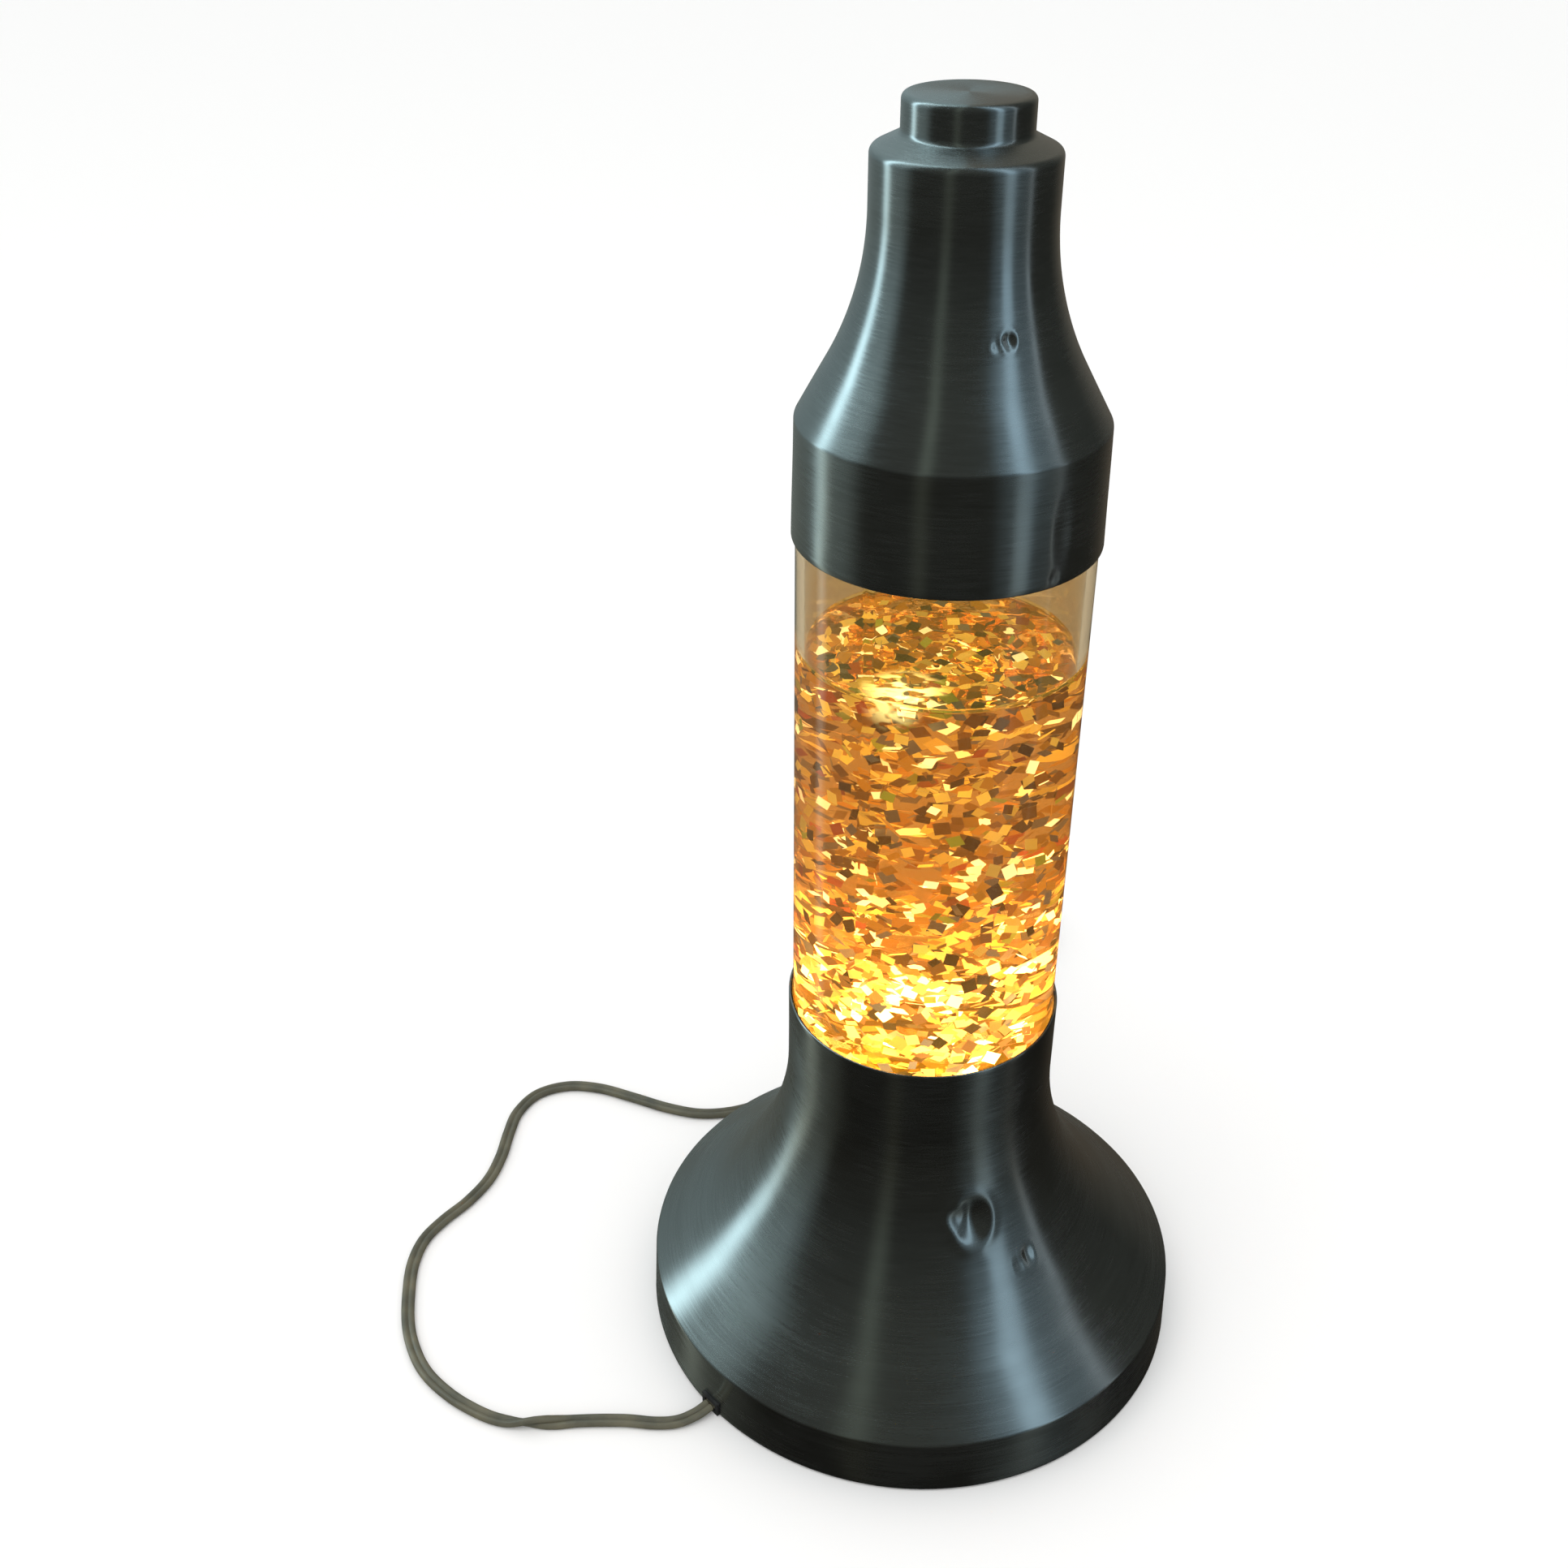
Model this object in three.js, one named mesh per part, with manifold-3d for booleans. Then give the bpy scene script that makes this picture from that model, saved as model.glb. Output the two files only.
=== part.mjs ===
// A glitter lamp: a spun aluminium trumpet base, a clear glass bottle of amber liquid that stands in the
// base's collar, a spun aluminium cap that lifts off, a reflector bulb under the bottle, and a flat
// two-core flex with an in-line rocker switch and a two-blade plug.
// Millimetres, +Z up. The origin is on the lamp's axis, at the level of the undersides of the feet.
import * as THREE from "three";
import { mergeVertices } from "three/addons/utils/BufferGeometryUtils.js";
import Module from "manifold-3d";

const wasm = await Module();
wasm.setup();

// ---------------------------------------------------------------- driving sizes
const GAP = 0.3; // clearance between two pieces that touch
const BOTTLE_RADIUS = 45; // glass bottle
const GLASS_WALL = 3;
const BOTTLE_FIT = 0.4; // glass to collar
const CAP_FIT = 0.4; // glass to cap band
const BASE_SHEET = 1.1; // spun sheet of the base
const CAP_SHEET = 0.8; // spun sheet of the cap

const RIM_RADIUS = 98; // widest part of the base, at the bottom
const RIM_DRAFT = 1; // how far the skirt leans in at its top
const RIM_CLEARANCE = 0.8; // rim above the table
const RIM_HEIGHT = 22; // top edge of the skirt
const FLARE_ANGLE = 46; // degrees from vertical, next to the rim
const FLARE_RADIUS = 104; // sweep from the flare into the neck, less where the neck would get too short
const STRAIGHT_NECK = 27; // least straight neck, which holds the bottle's seat
const COLLAR_HEIGHT = 142; // top of the base's collar
const SEAT_DEPTH = 18; // how deep the bottle sits in the collar

const BOTTLE_HEIGHT = 248; // bottom of the bottle to the top of its mouth
const BOTTLE_NECK = 36; // length of the bottle's neck, above the shoulder
const SHOULDER_RISE = 12;
const MOUTH_RADIUS = 18; // outside of the bottle's neck
const AIR_SPACE = 47; // liquid's surface to the start of the shoulder

const CAP_OVERLAP = 10; // start of the bottle's shoulder down to the cap's lower edge
const BAND_HEIGHT = 36; // straight band of the cap
const BAND_TAPER = 0.6; // how much narrower the band is at its top
const CAP_NECK_RADIUS = 25.9;
const CONE_RISE = 36; // band to where the cone's line would meet the neck
const CONE_SWEEP = 88; // sweep from the cone into the neck
const CAP_SHOULDER = 110; // band's lower edge to the shoulder's edge
const CAP_SHOULDER_RISE = 4;
const KNOB_RADIUS = 17.8;
const KNOB_HEIGHT = 10;

const PAN_LEVEL = 3; // underside of the base pan
const PAN_SHEET = 1.2;
const PAN_LIP = 9;
const FOOT_COUNT = 4;
const FOOT_INSET = 16; // rim to the centre of a foot
const FOOT_RADIUS = 6.5;
const VENT_COUNT = 10;
const VENT_CIRCLE = 46;
const VENT_RADIUS = 4.5;

const BRACKET_TOP = 22;
const BRACKET_SPAN = 48; // between the outsides of the bracket's legs
const BRACKET_SHEET = 1.5;
const BRACKET_WIDTH = 20;
const BRACKET_FOOT = 14;
const NIPPLE_RADIUS = 4.85;
const NIPPLE_BORE = 3.3;
const HOLDER_RADIUS = 14;
const HOLDER_HEIGHT = 32;
const SCREW_CAP_RADIUS = 6.95; // small screw lamp cap
const BULB_RADIUS = 25;
const BULB_CLEARANCE = 10; // bulb to the underside of the bottle

const CORD_WIDTH = 5;
const CORD_THICKNESS = 2.6;
const CORD_BEARING = 43.7; // degrees from the front towards the left, where the cord leaves
const EXIT_LEVEL = 2.9; // cord's centre line in the grommet
const CLAMP_INSET = 45; // rim to the middle of the clamp
const WIRE_RADIUS = 1;

const COIL_CENTRE = [8, 168];
const COIL_OUTER = 36;
const COIL_INNER = 19;
const COIL_BOTTOM = 0.8;
const COIL_HEIGHT = 10.2;
const TIE_WIDTH = 5;
const TIE_SHEET = 0.5;

const SWITCH_CENTRE = [0, 114];
const SWITCH_LENGTH = 55;
const SWITCH_WIDTH = 20;
const SWITCH_WALL = 1.6;
const SWITCH_SPLIT = 5; // height of the joint between the two halves
const SWITCH_HEIGHT = 12.5;
const ROCKER_LENGTH = 14;
const ROCKER_WIDTH = 8;
const ROCKER_PIVOT = 9.5;
const ROCKER_TILT = 8; // degrees, at rest in the on position

const PLUG_PLACE = [44, 212]; // back of the plug's body
const PLUG_LENGTH = 26;
const PLUG_WIDTH = 22;
const PLUG_HEIGHT = 12.4;
const PLUG_RELIEF = 20;
const BLADE_SPACING = 12.7;
const BLADE_LENGTH = 17;
const BLADE_SHEET = 1.5;
const BLADE_WIDTH = 6.3;
const BLADE_SOCKET = 5; // how far the blades go into the body

// Free cord, from the grommet to the switch. Its points are chosen by hand.
const CORD_TO_SWITCH = [
  [-68.4, -71.6, 2.9],
  [-72.6, -75.6, 2.4],
  [-78.8, -78.9, 1.7],
  [-87, -80.2, 1.4],
  [-98, -80.2, 1.4],
  [-114, -82, 1.4],
  [-129, -85, 1.4],
  [-143, -84.2, 1.4],
  [-155, -79.8, 1.4],
  [-165, -74, 1.4],
  [-174, -66.5, 1.4],
  [-181, -57, 1.4],
  [-186.5, -45.5, 1.4],
  [-190.5, -31, 1.4],
  [-193, -16, 1.4],
  [-192, -3, 1.4],
  [-187, 8, 1.4],
  [-180, 19, 1.4],
  [-174.5, 32, 1.4],
  [-172.5, 46, 1.4],
  [-172.5, 60, 1.4],
  [-171.5, 73, 1.4],
  [-165.5, 85, 1.4],
  [-153.5, 91.5, 1.4],
  [-139, 91.5, 1.4],
  [-123, 87, 1.4],
  [-107, 82, 1.4],
  [-92, 80, 1.4],
  [-77, 83.5, 1.4],
  [-63, 92, 1.6],
  [-51, 102, 2.4],
  [-40, 110, 4],
  [-28, 114, 5],
];
// From the switch to the coil.
const CORD_TO_COIL = [
  [28, 114, 5],
  [36, 116, 4.6],
  [43, 121, 4],
  [47, 129, 3.6],
  [48, 138, 3.4],
  [47, 147, 3.3],
  [45.2, 155, 3.3],
];
// From the coil to the plug.
const CORD_TO_PLUG = [
  [44.2, 180, 8.2],
  [44.2, 184.5, 7.6],
  [44, 188, 7],
  [44, 191.6, 6.4],
];

// ---------------------------------------------------------------- levels that follow from the sizes
const neckRadius = BOTTLE_RADIUS + BOTTLE_FIT + BASE_SHEET;
const collarInside = BOTTLE_RADIUS + BOTTLE_FIT;
const rimTopRadius = RIM_RADIUS - RIM_DRAFT;
const bottleBottom = COLLAR_HEIGHT - SEAT_DEPTH;
const bottleShoulder = BOTTLE_HEIGHT - BOTTLE_NECK - SHOULDER_RISE;
const liquidTop = bottleShoulder - AIR_SPACE;
const bandRadius = BOTTLE_RADIUS + CAP_FIT + CAP_SHEET;
const capBottom = bottleBottom + bottleShoulder - CAP_OVERLAP;
const ridge = capBottom + BAND_HEIGHT;
const capShoulder = capBottom + CAP_SHOULDER;
const knobBottom = capShoulder + CAP_SHOULDER_RISE;
const panTop = PAN_LEVEL + PAN_SHEET;
const bulbTop = bottleBottom - BULB_CLEARANCE;
const holderBottom = BRACKET_TOP + GAP;
const holderTop = holderBottom + HOLDER_HEIGHT;
const cordOnPan = panTop + GAP + CORD_THICKNESS / 2;
const footCircle = RIM_RADIUS - FOOT_INSET;
const clampPlace = RIM_RADIUS - CLAMP_INSET;

// ---------------------------------------------------------------- materials
const paint = (color, roughness, metalness, extra = {}) =>
  new THREE.MeshStandardMaterial({ color, roughness, metalness, ...extra });
const clear = (color, opacity) => paint(color, 0.05, 0, { transparent: true, opacity });
const look = {
  spunAluminium: paint(0x5a676b, 0.32, 1),
  glass: clear(0xe8e4d2, 0.25),
  liquid: clear(0xe0951a, 0.7),
  steel: paint(0x8b8f92, 0.4, 1),
  zinc: paint(0xb4b6b2, 0.35, 1),
  brass: paint(0xb99a4e, 0.35, 1),
  rubber: paint(0x191919, 0.85, 0),
  ceramic: paint(0xe9e5da, 0.45, 0),
  bakelite: paint(0x1d1a18, 0.35, 0),
  whitePlastic: paint(0xd8d2c2, 0.5, 0),
  felt: paint(0x55524c, 0.95, 0),
  flex: paint(0x5a5a48, 0.5, 0),
  liveWire: paint(0x2b2b2b, 0.5, 0),
  neutralWire: paint(0xd8d4c6, 0.5, 0),
  frostedGlass: clear(0xf5f0e2, 0.5),
  tungsten: paint(0x777470, 0.4, 1),
};

// ---------------------------------------------------------------- shape helpers
const radians = THREE.MathUtils.degToRad;
const flat = (x, y) => new THREE.Vector2(x, y);

// Rounds the corners of an outline. Each corner is [x, y, radius, steps]; one with no radius stays sharp.
function rounded(corners) {
  const out = [];
  corners.forEach(([x, y, radius, steps = 2], i) => {
    const here = flat(x, y);
    if (!radius) {
      out.push(here);
      return;
    }
    const back = flat(corners[i - 1][0], corners[i - 1][1]).sub(here).normalize();
    const on = flat(corners[i + 1][0], corners[i + 1][1]).sub(here).normalize();
    const turn = Math.PI - Math.acos(THREE.MathUtils.clamp(back.dot(on), -1, 1));
    const reach = radius * Math.tan(turn / 2);
    const centre = here
      .clone()
      .add(back.clone().add(on).normalize().multiplyScalar(Math.hypot(radius, reach)));
    const from = here.clone().addScaledVector(back, reach).sub(centre);
    const side = Math.sign(from.cross(here.clone().addScaledVector(on, reach).sub(centre)));
    for (let k = 0; k <= steps; k++)
      out.push(from.clone().rotateAround(flat(0, 0), (side * turn * k) / steps).add(centre));
  });
  return out;
}

// The outline moved to its left by a wall's thickness; ends keep to the level or axis that they start on.
function wallInside(outline, wall) {
  return outline.map((point, i) => {
    const before = outline[Math.max(i - 1, 0)];
    const after = outline[Math.min(i + 1, outline.length - 1)];
    const a = point.clone().sub(before).normalize();
    const b = after.clone().sub(point).normalize();
    const along = a.clone().add(b).normalize();
    const normal = flat(-along.y, along.x);
    const straight = i === 0 || i === outline.length - 1;
    const stretch = straight ? 1 : 1 / Math.max(0.4, Math.abs(normal.dot(flat(-a.y, a.x))));
    const moved = point.clone().addScaledVector(normal, wall * stretch);
    if (point.x === 0) moved.x = 0;
    if (i === 0 && point.x > 0) moved.y = point.y;
    return moved;
  });
}

// A geometry with merged vertices and without the collapsed faces of a pole.
function cleaned(geometry) {
  geometry.deleteAttribute("normal");
  geometry.deleteAttribute("uv");
  const merged = mergeVertices(geometry, 1e-4);
  const index = [];
  for (let i = 0; i < merged.index.count; i += 3) {
    const [a, b, c] = [0, 1, 2].map((k) => merged.index.getX(i + k));
    if (a !== b && b !== c && c !== a) index.push(a, b, c);
  }
  merged.setIndex(index);
  return merged;
}

// Turns a profile of (radius, height) points about +Z. The profile runs counter-clockwise.
function turned(profile, segments = 24) {
  const points = profile.map((p) => (Array.isArray(p) ? flat(p[0], p[1]) : p));
  const open = points[0].x > 0 || points[points.length - 1].x > 0;
  if (open) points.push(points[0].clone());
  return cleaned(new THREE.LatheGeometry(points, segments)).rotateX(Math.PI / 2);
}

// A sheet shell: its outer outline from the bottom up, and its inner face one wall inside.
function spun(outline, wall, segments) {
  return turned([...outline, ...wallInside(outline, wall).reverse()], segments);
}

// A straight solid: an outline in X and Y, raised from one level to another.
function raised(outline, bottom, top) {
  const shape = new THREE.Shape(outline.map((p) => (Array.isArray(p) ? flat(p[0], p[1]) : p)));
  const made = new THREE.ExtrudeGeometry(shape, { depth: top - bottom, bevelEnabled: false });
  return cleaned(made).translate(0, 0, bottom);
}

// A rectangle with round corners, about the origin.
function roundRectangle(length, width, radius) {
  const [x, y] = [length / 2 - radius, width / 2 - radius];
  const out = [];
  const corners = [[x, y], [-x, y], [-x, -y], [x, -y]];
  corners.forEach(([cx, cy], quarter) => {
    for (let k = 0; k <= 4; k++) {
      const angle = (Math.PI / 2) * (quarter + k / 4);
      out.push(flat(cx + radius * Math.cos(angle), cy + radius * Math.sin(angle)));
    }
  });
  return out;
}

const box = (x0, x1, y0, y1, z0, z1) =>
  cleaned(
    new THREE.BoxGeometry(x1 - x0, y1 - y0, z1 - z0).translate((x0 + x1) / 2, (y0 + y1) / 2, (z0 + z1) / 2),
  );

const rod = (radius, bottom, top, segments = 12) =>
  turned([[0, bottom], [radius, bottom], [radius, top], [0, top]], segments);

// A tube of a given section along points; the section is [across, upright].
function tube(points, section, sides, steps) {
  const path = new THREE.CatmullRomCurve3(points.map((p) => new THREE.Vector3(...p)), false, "centripetal");
  const outline = [];
  for (let k = 0; k < sides; k++) {
    const angle = (2 * Math.PI * (k + 0.5)) / sides;
    outline.push(flat((section[1] / 2) * Math.cos(angle), (section[0] / 2) * Math.sin(angle)));
  }
  return cleaned(
    new THREE.ExtrudeGeometry(new THREE.Shape(outline), { steps, extrudePath: path, bevelEnabled: false }),
  );
}

function solid(geometry) {
  return new wasm.Manifold(
    new wasm.Mesh({
      numProp: 3,
      vertProperties: new Float32Array(geometry.attributes.position.array),
      triVerts: new Uint32Array(geometry.index.array),
    }),
  );
}

function cut(geometry, ...tools) {
  return shaped(tools.reduce((made, tool) => made.subtract(solid(tool)), solid(geometry)));
}

function joined(...geometries) {
  return shaped(geometries.map(solid).reduce((a, b) => a.add(b)));
}

function shaped(manifold) {
  const mesh = manifold.getMesh();
  const position = new Float32Array(mesh.numVert * 3);
  for (let i = 0; i < mesh.numVert; i++)
    position.set(mesh.vertProperties.subarray(i * mesh.numProp, i * mesh.numProp + 3), i * 3);
  return new THREE.BufferGeometry()
    .setAttribute("position", new THREE.BufferAttribute(position, 3))
    .setIndex(Array.from(mesh.triVerts));
}

function ringOf(count, radius, make, phase = 0) {
  return Array.from({ length: count }, (_, i) => {
    const angle = phase + (2 * Math.PI * i) / count;
    return make().translate(radius * Math.cos(angle), radius * Math.sin(angle), 0);
  });
}

// ---------------------------------------------------------------- the groups
const lamp = new THREE.Group();
const toCord = new THREE.Group(); // turned so that its +X points where the cord leaves
toCord.rotation.z = radians(-90 - CORD_BEARING);
const vessel = new THREE.Group();
vessel.position.z = bottleBottom;
const inlineSwitch = new THREE.Group();
inlineSwitch.position.set(...SWITCH_CENTRE, 0);
const plug = new THREE.Group();
plug.position.set(...PLUG_PLACE, PLUG_HEIGHT / 2);
lamp.add(toCord, vessel, inlineSwitch, plug);

function piece(group, name, geometry, material) {
  geometry.computeVertexNormals();
  const mesh = new THREE.Mesh(geometry, material);
  mesh.name = name;
  group.add(mesh);
}

// ---------------------------------------------------------------- base
const skirtInside = (level) =>
  RIM_RADIUS - BASE_SHEET - (RIM_DRAFT * (level - RIM_CLEARANCE)) / (RIM_HEIGHT - RIM_CLEARANCE);
const NOTCH_WIDTH = CORD_WIDTH + 4;
const NOTCH_TOP = EXIT_LEVEL + 3.4;

function baseShell() {
  const rise = (rimTopRadius - neckRadius) / Math.tan(radians(FLARE_ANGLE));
  const sweepRoom = COLLAR_HEIGHT - STRAIGHT_NECK - RIM_HEIGHT - rise;
  const sweep = Math.min(FLARE_RADIUS, sweepRoom / Math.tan(radians(FLARE_ANGLE / 2)));
  const outline = rounded([
    [RIM_RADIUS, RIM_CLEARANCE],
    [rimTopRadius, RIM_HEIGHT, 1.5],
    [neckRadius, RIM_HEIGHT + rise, sweep, 7],
    [neckRadius, COLLAR_HEIGHT],
  ]);
  const notch = box(
    rimTopRadius - 12, RIM_RADIUS + 4, -NOTCH_WIDTH / 2, NOTCH_WIDTH / 2, -1, NOTCH_TOP,
  ).rotateZ(toCord.rotation.z);
  return cut(spun(outline, BASE_SHEET, 52), notch);
}
piece(lamp, "base_shell", baseShell(), look.spunAluminium);

const seatTop = bottleBottom - GAP;
const GASKET_HEIGHT = 3.4;
const SEAT_WIDTH = 7;
const seatOutside = collarInside - GAP;
piece(lamp, "seat_gasket", turned([
  [seatOutside - SEAT_WIDTH, seatTop - GASKET_HEIGHT],
  [seatOutside, seatTop - GASKET_HEIGHT],
  [seatOutside, seatTop],
  [seatOutside - SEAT_WIDTH, seatTop],
], 32), look.rubber);
const flangeTop = seatTop - GASKET_HEIGHT - GAP;
const SEAT_SHEET = 1.2;
const SEAT_WALL = 11;
piece(lamp, "seat_ring", turned([
  [seatOutside - SEAT_SHEET, flangeTop - SEAT_WALL],
  [seatOutside, flangeTop - SEAT_WALL],
  [seatOutside, flangeTop],
  [seatOutside - SEAT_WIDTH, flangeTop],
  [seatOutside - SEAT_WIDTH, flangeTop - SEAT_SHEET],
  [seatOutside - SEAT_SHEET, flangeTop - SEAT_SHEET],
], 32), look.steel);

// Pressed pan that closes the base; everything electrical is fixed to it.
const FOOT_STEM = 2.7;
const RIVET_RADIUS = 1.5;
const SCREW_RADIUS = 1.2;
const CLAMP_SCREW_PLACE = 7.8; // each side of the cord
const CLAMP_LENGTH = 9;
const CLAMP_SHEET = 1.2;
const rivetPlace = BRACKET_SPAN / 2 + BRACKET_FOOT / 2;
const drill = (radius) => rod(radius, 0, 2 * panTop, 12); // through the pan and what lies on it
function basePan() {
  const outside = skirtInside(PAN_LIP + PAN_LEVEL) - GAP;
  const outline = rounded([
    [0, PAN_LEVEL],
    [outside, PAN_LEVEL, 2],
    [outside, PAN_LEVEL + PAN_LIP],
  ]);
  const feet = ringOf(FOOT_COUNT, footCircle, () => drill(FOOT_STEM + GAP), Math.PI / FOOT_COUNT);
  const vents = ringOf(VENT_COUNT, VENT_CIRCLE, () => drill(VENT_RADIUS), Math.PI / VENT_COUNT)
    .filter((_, i) => ![0, VENT_COUNT - 1].includes(i));
  const slotHalf = NOTCH_WIDTH / 2 + 2;
  const cordSlot = box(
    clampPlace + CLAMP_LENGTH, RIM_RADIUS, -slotHalf, slotHalf, 0, PAN_LEVEL + 2 * PAN_LIP,
  );
  const rivets = [-1, 1].map((side) => drill(RIVET_RADIUS + GAP).translate(0, side * rivetPlace, 0));
  const screws = [-1, 1].map((side) =>
    drill(SCREW_RADIUS + GAP).translate(clampPlace, side * CLAMP_SCREW_PLACE, 0),
  );
  return cut(spun(outline, PAN_SHEET, 40), ...feet, ...vents, cordSlot, ...rivets, ...screws);
}
piece(toCord, "base_pan", basePan(), look.steel);

// Rubber feet with a waist that snaps into the pan.
ringOf(FOOT_COUNT, footCircle, () => turned([
  [0, 0],
  [FOOT_RADIUS - 0.8, 0],
  [FOOT_RADIUS, 0.8],
  [FOOT_RADIUS, PAN_LEVEL - GAP],
  [FOOT_STEM, PAN_LEVEL - GAP],
  [FOOT_STEM, panTop + GAP],
  [FOOT_STEM + 1.6, panTop + GAP],
  [FOOT_STEM, panTop + GAP + 2],
  [0, panTop + GAP + 2],
], 16), Math.PI / FOOT_COUNT).forEach((foot, i) => piece(toCord, `foot_${i + 1}`, foot, look.rubber));

// ---------------------------------------------------------------- lampholder on its bracket
function bracket() {
  const [half, sheet, top] = [BRACKET_SPAN / 2, BRACKET_SHEET, BRACKET_TOP];
  const foot = panTop + GAP;
  const side = [
    [half + BRACKET_FOOT, foot],
    [half + BRACKET_FOOT, foot + sheet],
    [half, foot + sheet],
    [half, top],
  ];
  const under = [
    [half - sheet, top - sheet],
    [half - sheet, foot],
  ];
  const mirror = (list) => list.map(([y, z]) => [-y, z]).reverse();
  const outline = [...side, ...mirror(side), ...mirror(under), ...under];
  const strap = raised(outline, -BRACKET_WIDTH / 2, BRACKET_WIDTH / 2)
    .rotateX(Math.PI / 2)
    .rotateZ(Math.PI / 2);
  const rivets = [-1, 1].map((s) => drill(RIVET_RADIUS + GAP).translate(0, s * rivetPlace, 0));
  return cut(strap, rod(NIPPLE_RADIUS + GAP, top - 5, top + 2, 24), ...rivets);
}
piece(toCord, "lampholder_bracket", bracket(), look.zinc);

[-1, 1].forEach((side, i) => {
  const top = panTop + GAP + BRACKET_SHEET + GAP;
  const rivet = turned([
    [0, PAN_LEVEL - GAP - 1],
    [RIVET_RADIUS + 1, PAN_LEVEL - GAP - 1],
    [RIVET_RADIUS + 1, PAN_LEVEL - GAP],
    [RIVET_RADIUS, PAN_LEVEL - GAP],
    [RIVET_RADIUS, top],
    [RIVET_RADIUS + 1.5, top],
    [RIVET_RADIUS + 0.8, top + 1.3],
    [0, top + 1.6],
  ], 12).translate(0, side * rivetPlace, 0);
  piece(toCord, `bracket_rivet_${i + 1}`, rivet, look.steel);
});

const NIPPLE_BOTTOM = 15.5;
const HOLDER_FLOOR = 4;
const nippleTop = holderBottom + HOLDER_FLOOR - 0.5;
piece(toCord, "holder_nipple", turned([
  [NIPPLE_BORE, NIPPLE_BOTTOM],
  [NIPPLE_RADIUS, NIPPLE_BOTTOM],
  [NIPPLE_RADIUS, nippleTop],
  [NIPPLE_BORE, nippleTop],
], 16), look.zinc);
const nutTop = BRACKET_TOP - BRACKET_SHEET - GAP;
const NUT_HEIGHT = 3;
piece(toCord, "holder_nut", cut(
  rod(8, nutTop - NUT_HEIGHT, nutTop, 6),
  rod(NIPPLE_RADIUS + GAP, nutTop - 9, nutTop + 9, 16),
), look.zinc);

const threadInside = SCREW_CAP_RADIUS + GAP;
const THREAD_SHEET = 0.5;
const holderInside = threadInside + THREAD_SHEET + GAP;
const holderFloor = holderBottom + HOLDER_FLOOR;
piece(toCord, "lampholder_body", turned([
  [NIPPLE_RADIUS + GAP, holderBottom],
  ...rounded([
    [HOLDER_RADIUS - 3, holderBottom],
    [HOLDER_RADIUS, holderBottom + 3],
    [HOLDER_RADIUS, holderTop, 1.5],
    [holderInside, holderTop],
  ]),
  [holderInside, holderFloor],
  [NIPPLE_RADIUS + GAP, holderFloor],
], 24), look.ceramic);

const shellBottom = holderFloor + 3.5;
piece(toCord, "lampholder_shell", turned([
  [threadInside, shellBottom],
  [threadInside + THREAD_SHEET, shellBottom],
  [threadInside + THREAD_SHEET, holderTop - 3],
  [threadInside, holderTop - 3],
], 24), look.brass);
const CONTACT_RISE = 5.2;
const contactTop = holderFloor + CONTACT_RISE;
piece(toCord, "lampholder_contact", turned([
  [0, holderFloor + GAP],
  [NIPPLE_RADIUS + 1.4, holderFloor + GAP],
  [NIPPLE_RADIUS + 1.4, holderFloor + GAP + 1],
  [2.2, contactTop - 0.6],
  [1.4, contactTop],
  [0, contactTop],
], 20), look.brass);

// ---------------------------------------------------------------- bulb
const bulbContact = contactTop + GAP;
const capStart = bulbContact + 3.2;
const bulbNeck = holderTop + 0.8;
const capTop = bulbNeck - 1;
function screwCap() {
  const profile = [[SCREW_CAP_RADIUS - 2.8, capStart], [SCREW_CAP_RADIUS - 0.7, capStart + 2.2]];
  const THREAD_PITCH = 2.82;
  const crest = SCREW_CAP_RADIUS - 0.05;
  for (let z = capStart + 3.2; z < capTop - THREAD_PITCH - 1; z += THREAD_PITCH)
    profile.push([crest - 0.6, z], [crest, z + THREAD_PITCH / 2]);
  profile.push([crest - 0.6, capTop - 2], [crest - 0.6, capTop]);
  const WALL = 0.5;
  const inside = profile.map(([r, z]) => [Math.min(r, crest - 0.6) - WALL, z]).reverse();
  return turned([...profile, ...inside], 14);
}
const glassNeckRadius = SCREW_CAP_RADIUS - 0.65 - 0.5 - GAP;
piece(toCord, "bulb_screw_cap", screwCap(), look.brass);
piece(toCord, "bulb_insulator", rod(SCREW_CAP_RADIUS - 3.6 - GAP, bulbContact + 1.3 + GAP, capStart + 2, 20),
  look.bakelite);
piece(toCord, "bulb_contact", turned([
  [0, bulbContact],
  [1.6, bulbContact],
  [2.3, bulbContact + 1.3],
  [0, bulbContact + 1.3],
], 16), look.zinc);
const BULB_WALL = 0.8;
piece(toCord, "bulb_glass", spun(rounded([
  [glassNeckRadius, capTop - 8],
  [glassNeckRadius, bulbNeck + 1, 4],
  [BULB_RADIUS, bulbTop - 22, 14],
  [BULB_RADIUS, bulbTop, 16, 3],
  [0, bulbTop],
]), BULB_WALL, 20), look.frostedGlass);
const stemTop = bulbNeck + 12;
piece(toCord, "bulb_stem", turned([
  [0, capTop - 7],
  [glassNeckRadius - BULB_WALL - 0.6, capTop - 7],
  [2.2, capTop - 2],
  [2, stemTop],
  [0, stemTop],
], 16), look.glass);
const filamentTop = stemTop + 16;
piece(toCord, "bulb_filament", tube([
  [-1.4, 0, stemTop + GAP],
  [-6, 0, stemTop + 8],
  [-6.6, 0, filamentTop - 2],
  [-4, 0, filamentTop],
  [4, 0, filamentTop],
  [6.6, 0, filamentTop - 2],
  [6, 0, stemTop + 8],
  [1.4, 0, stemTop + GAP],
], [0.8, 0.8], 8, 18), look.tungsten);

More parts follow.
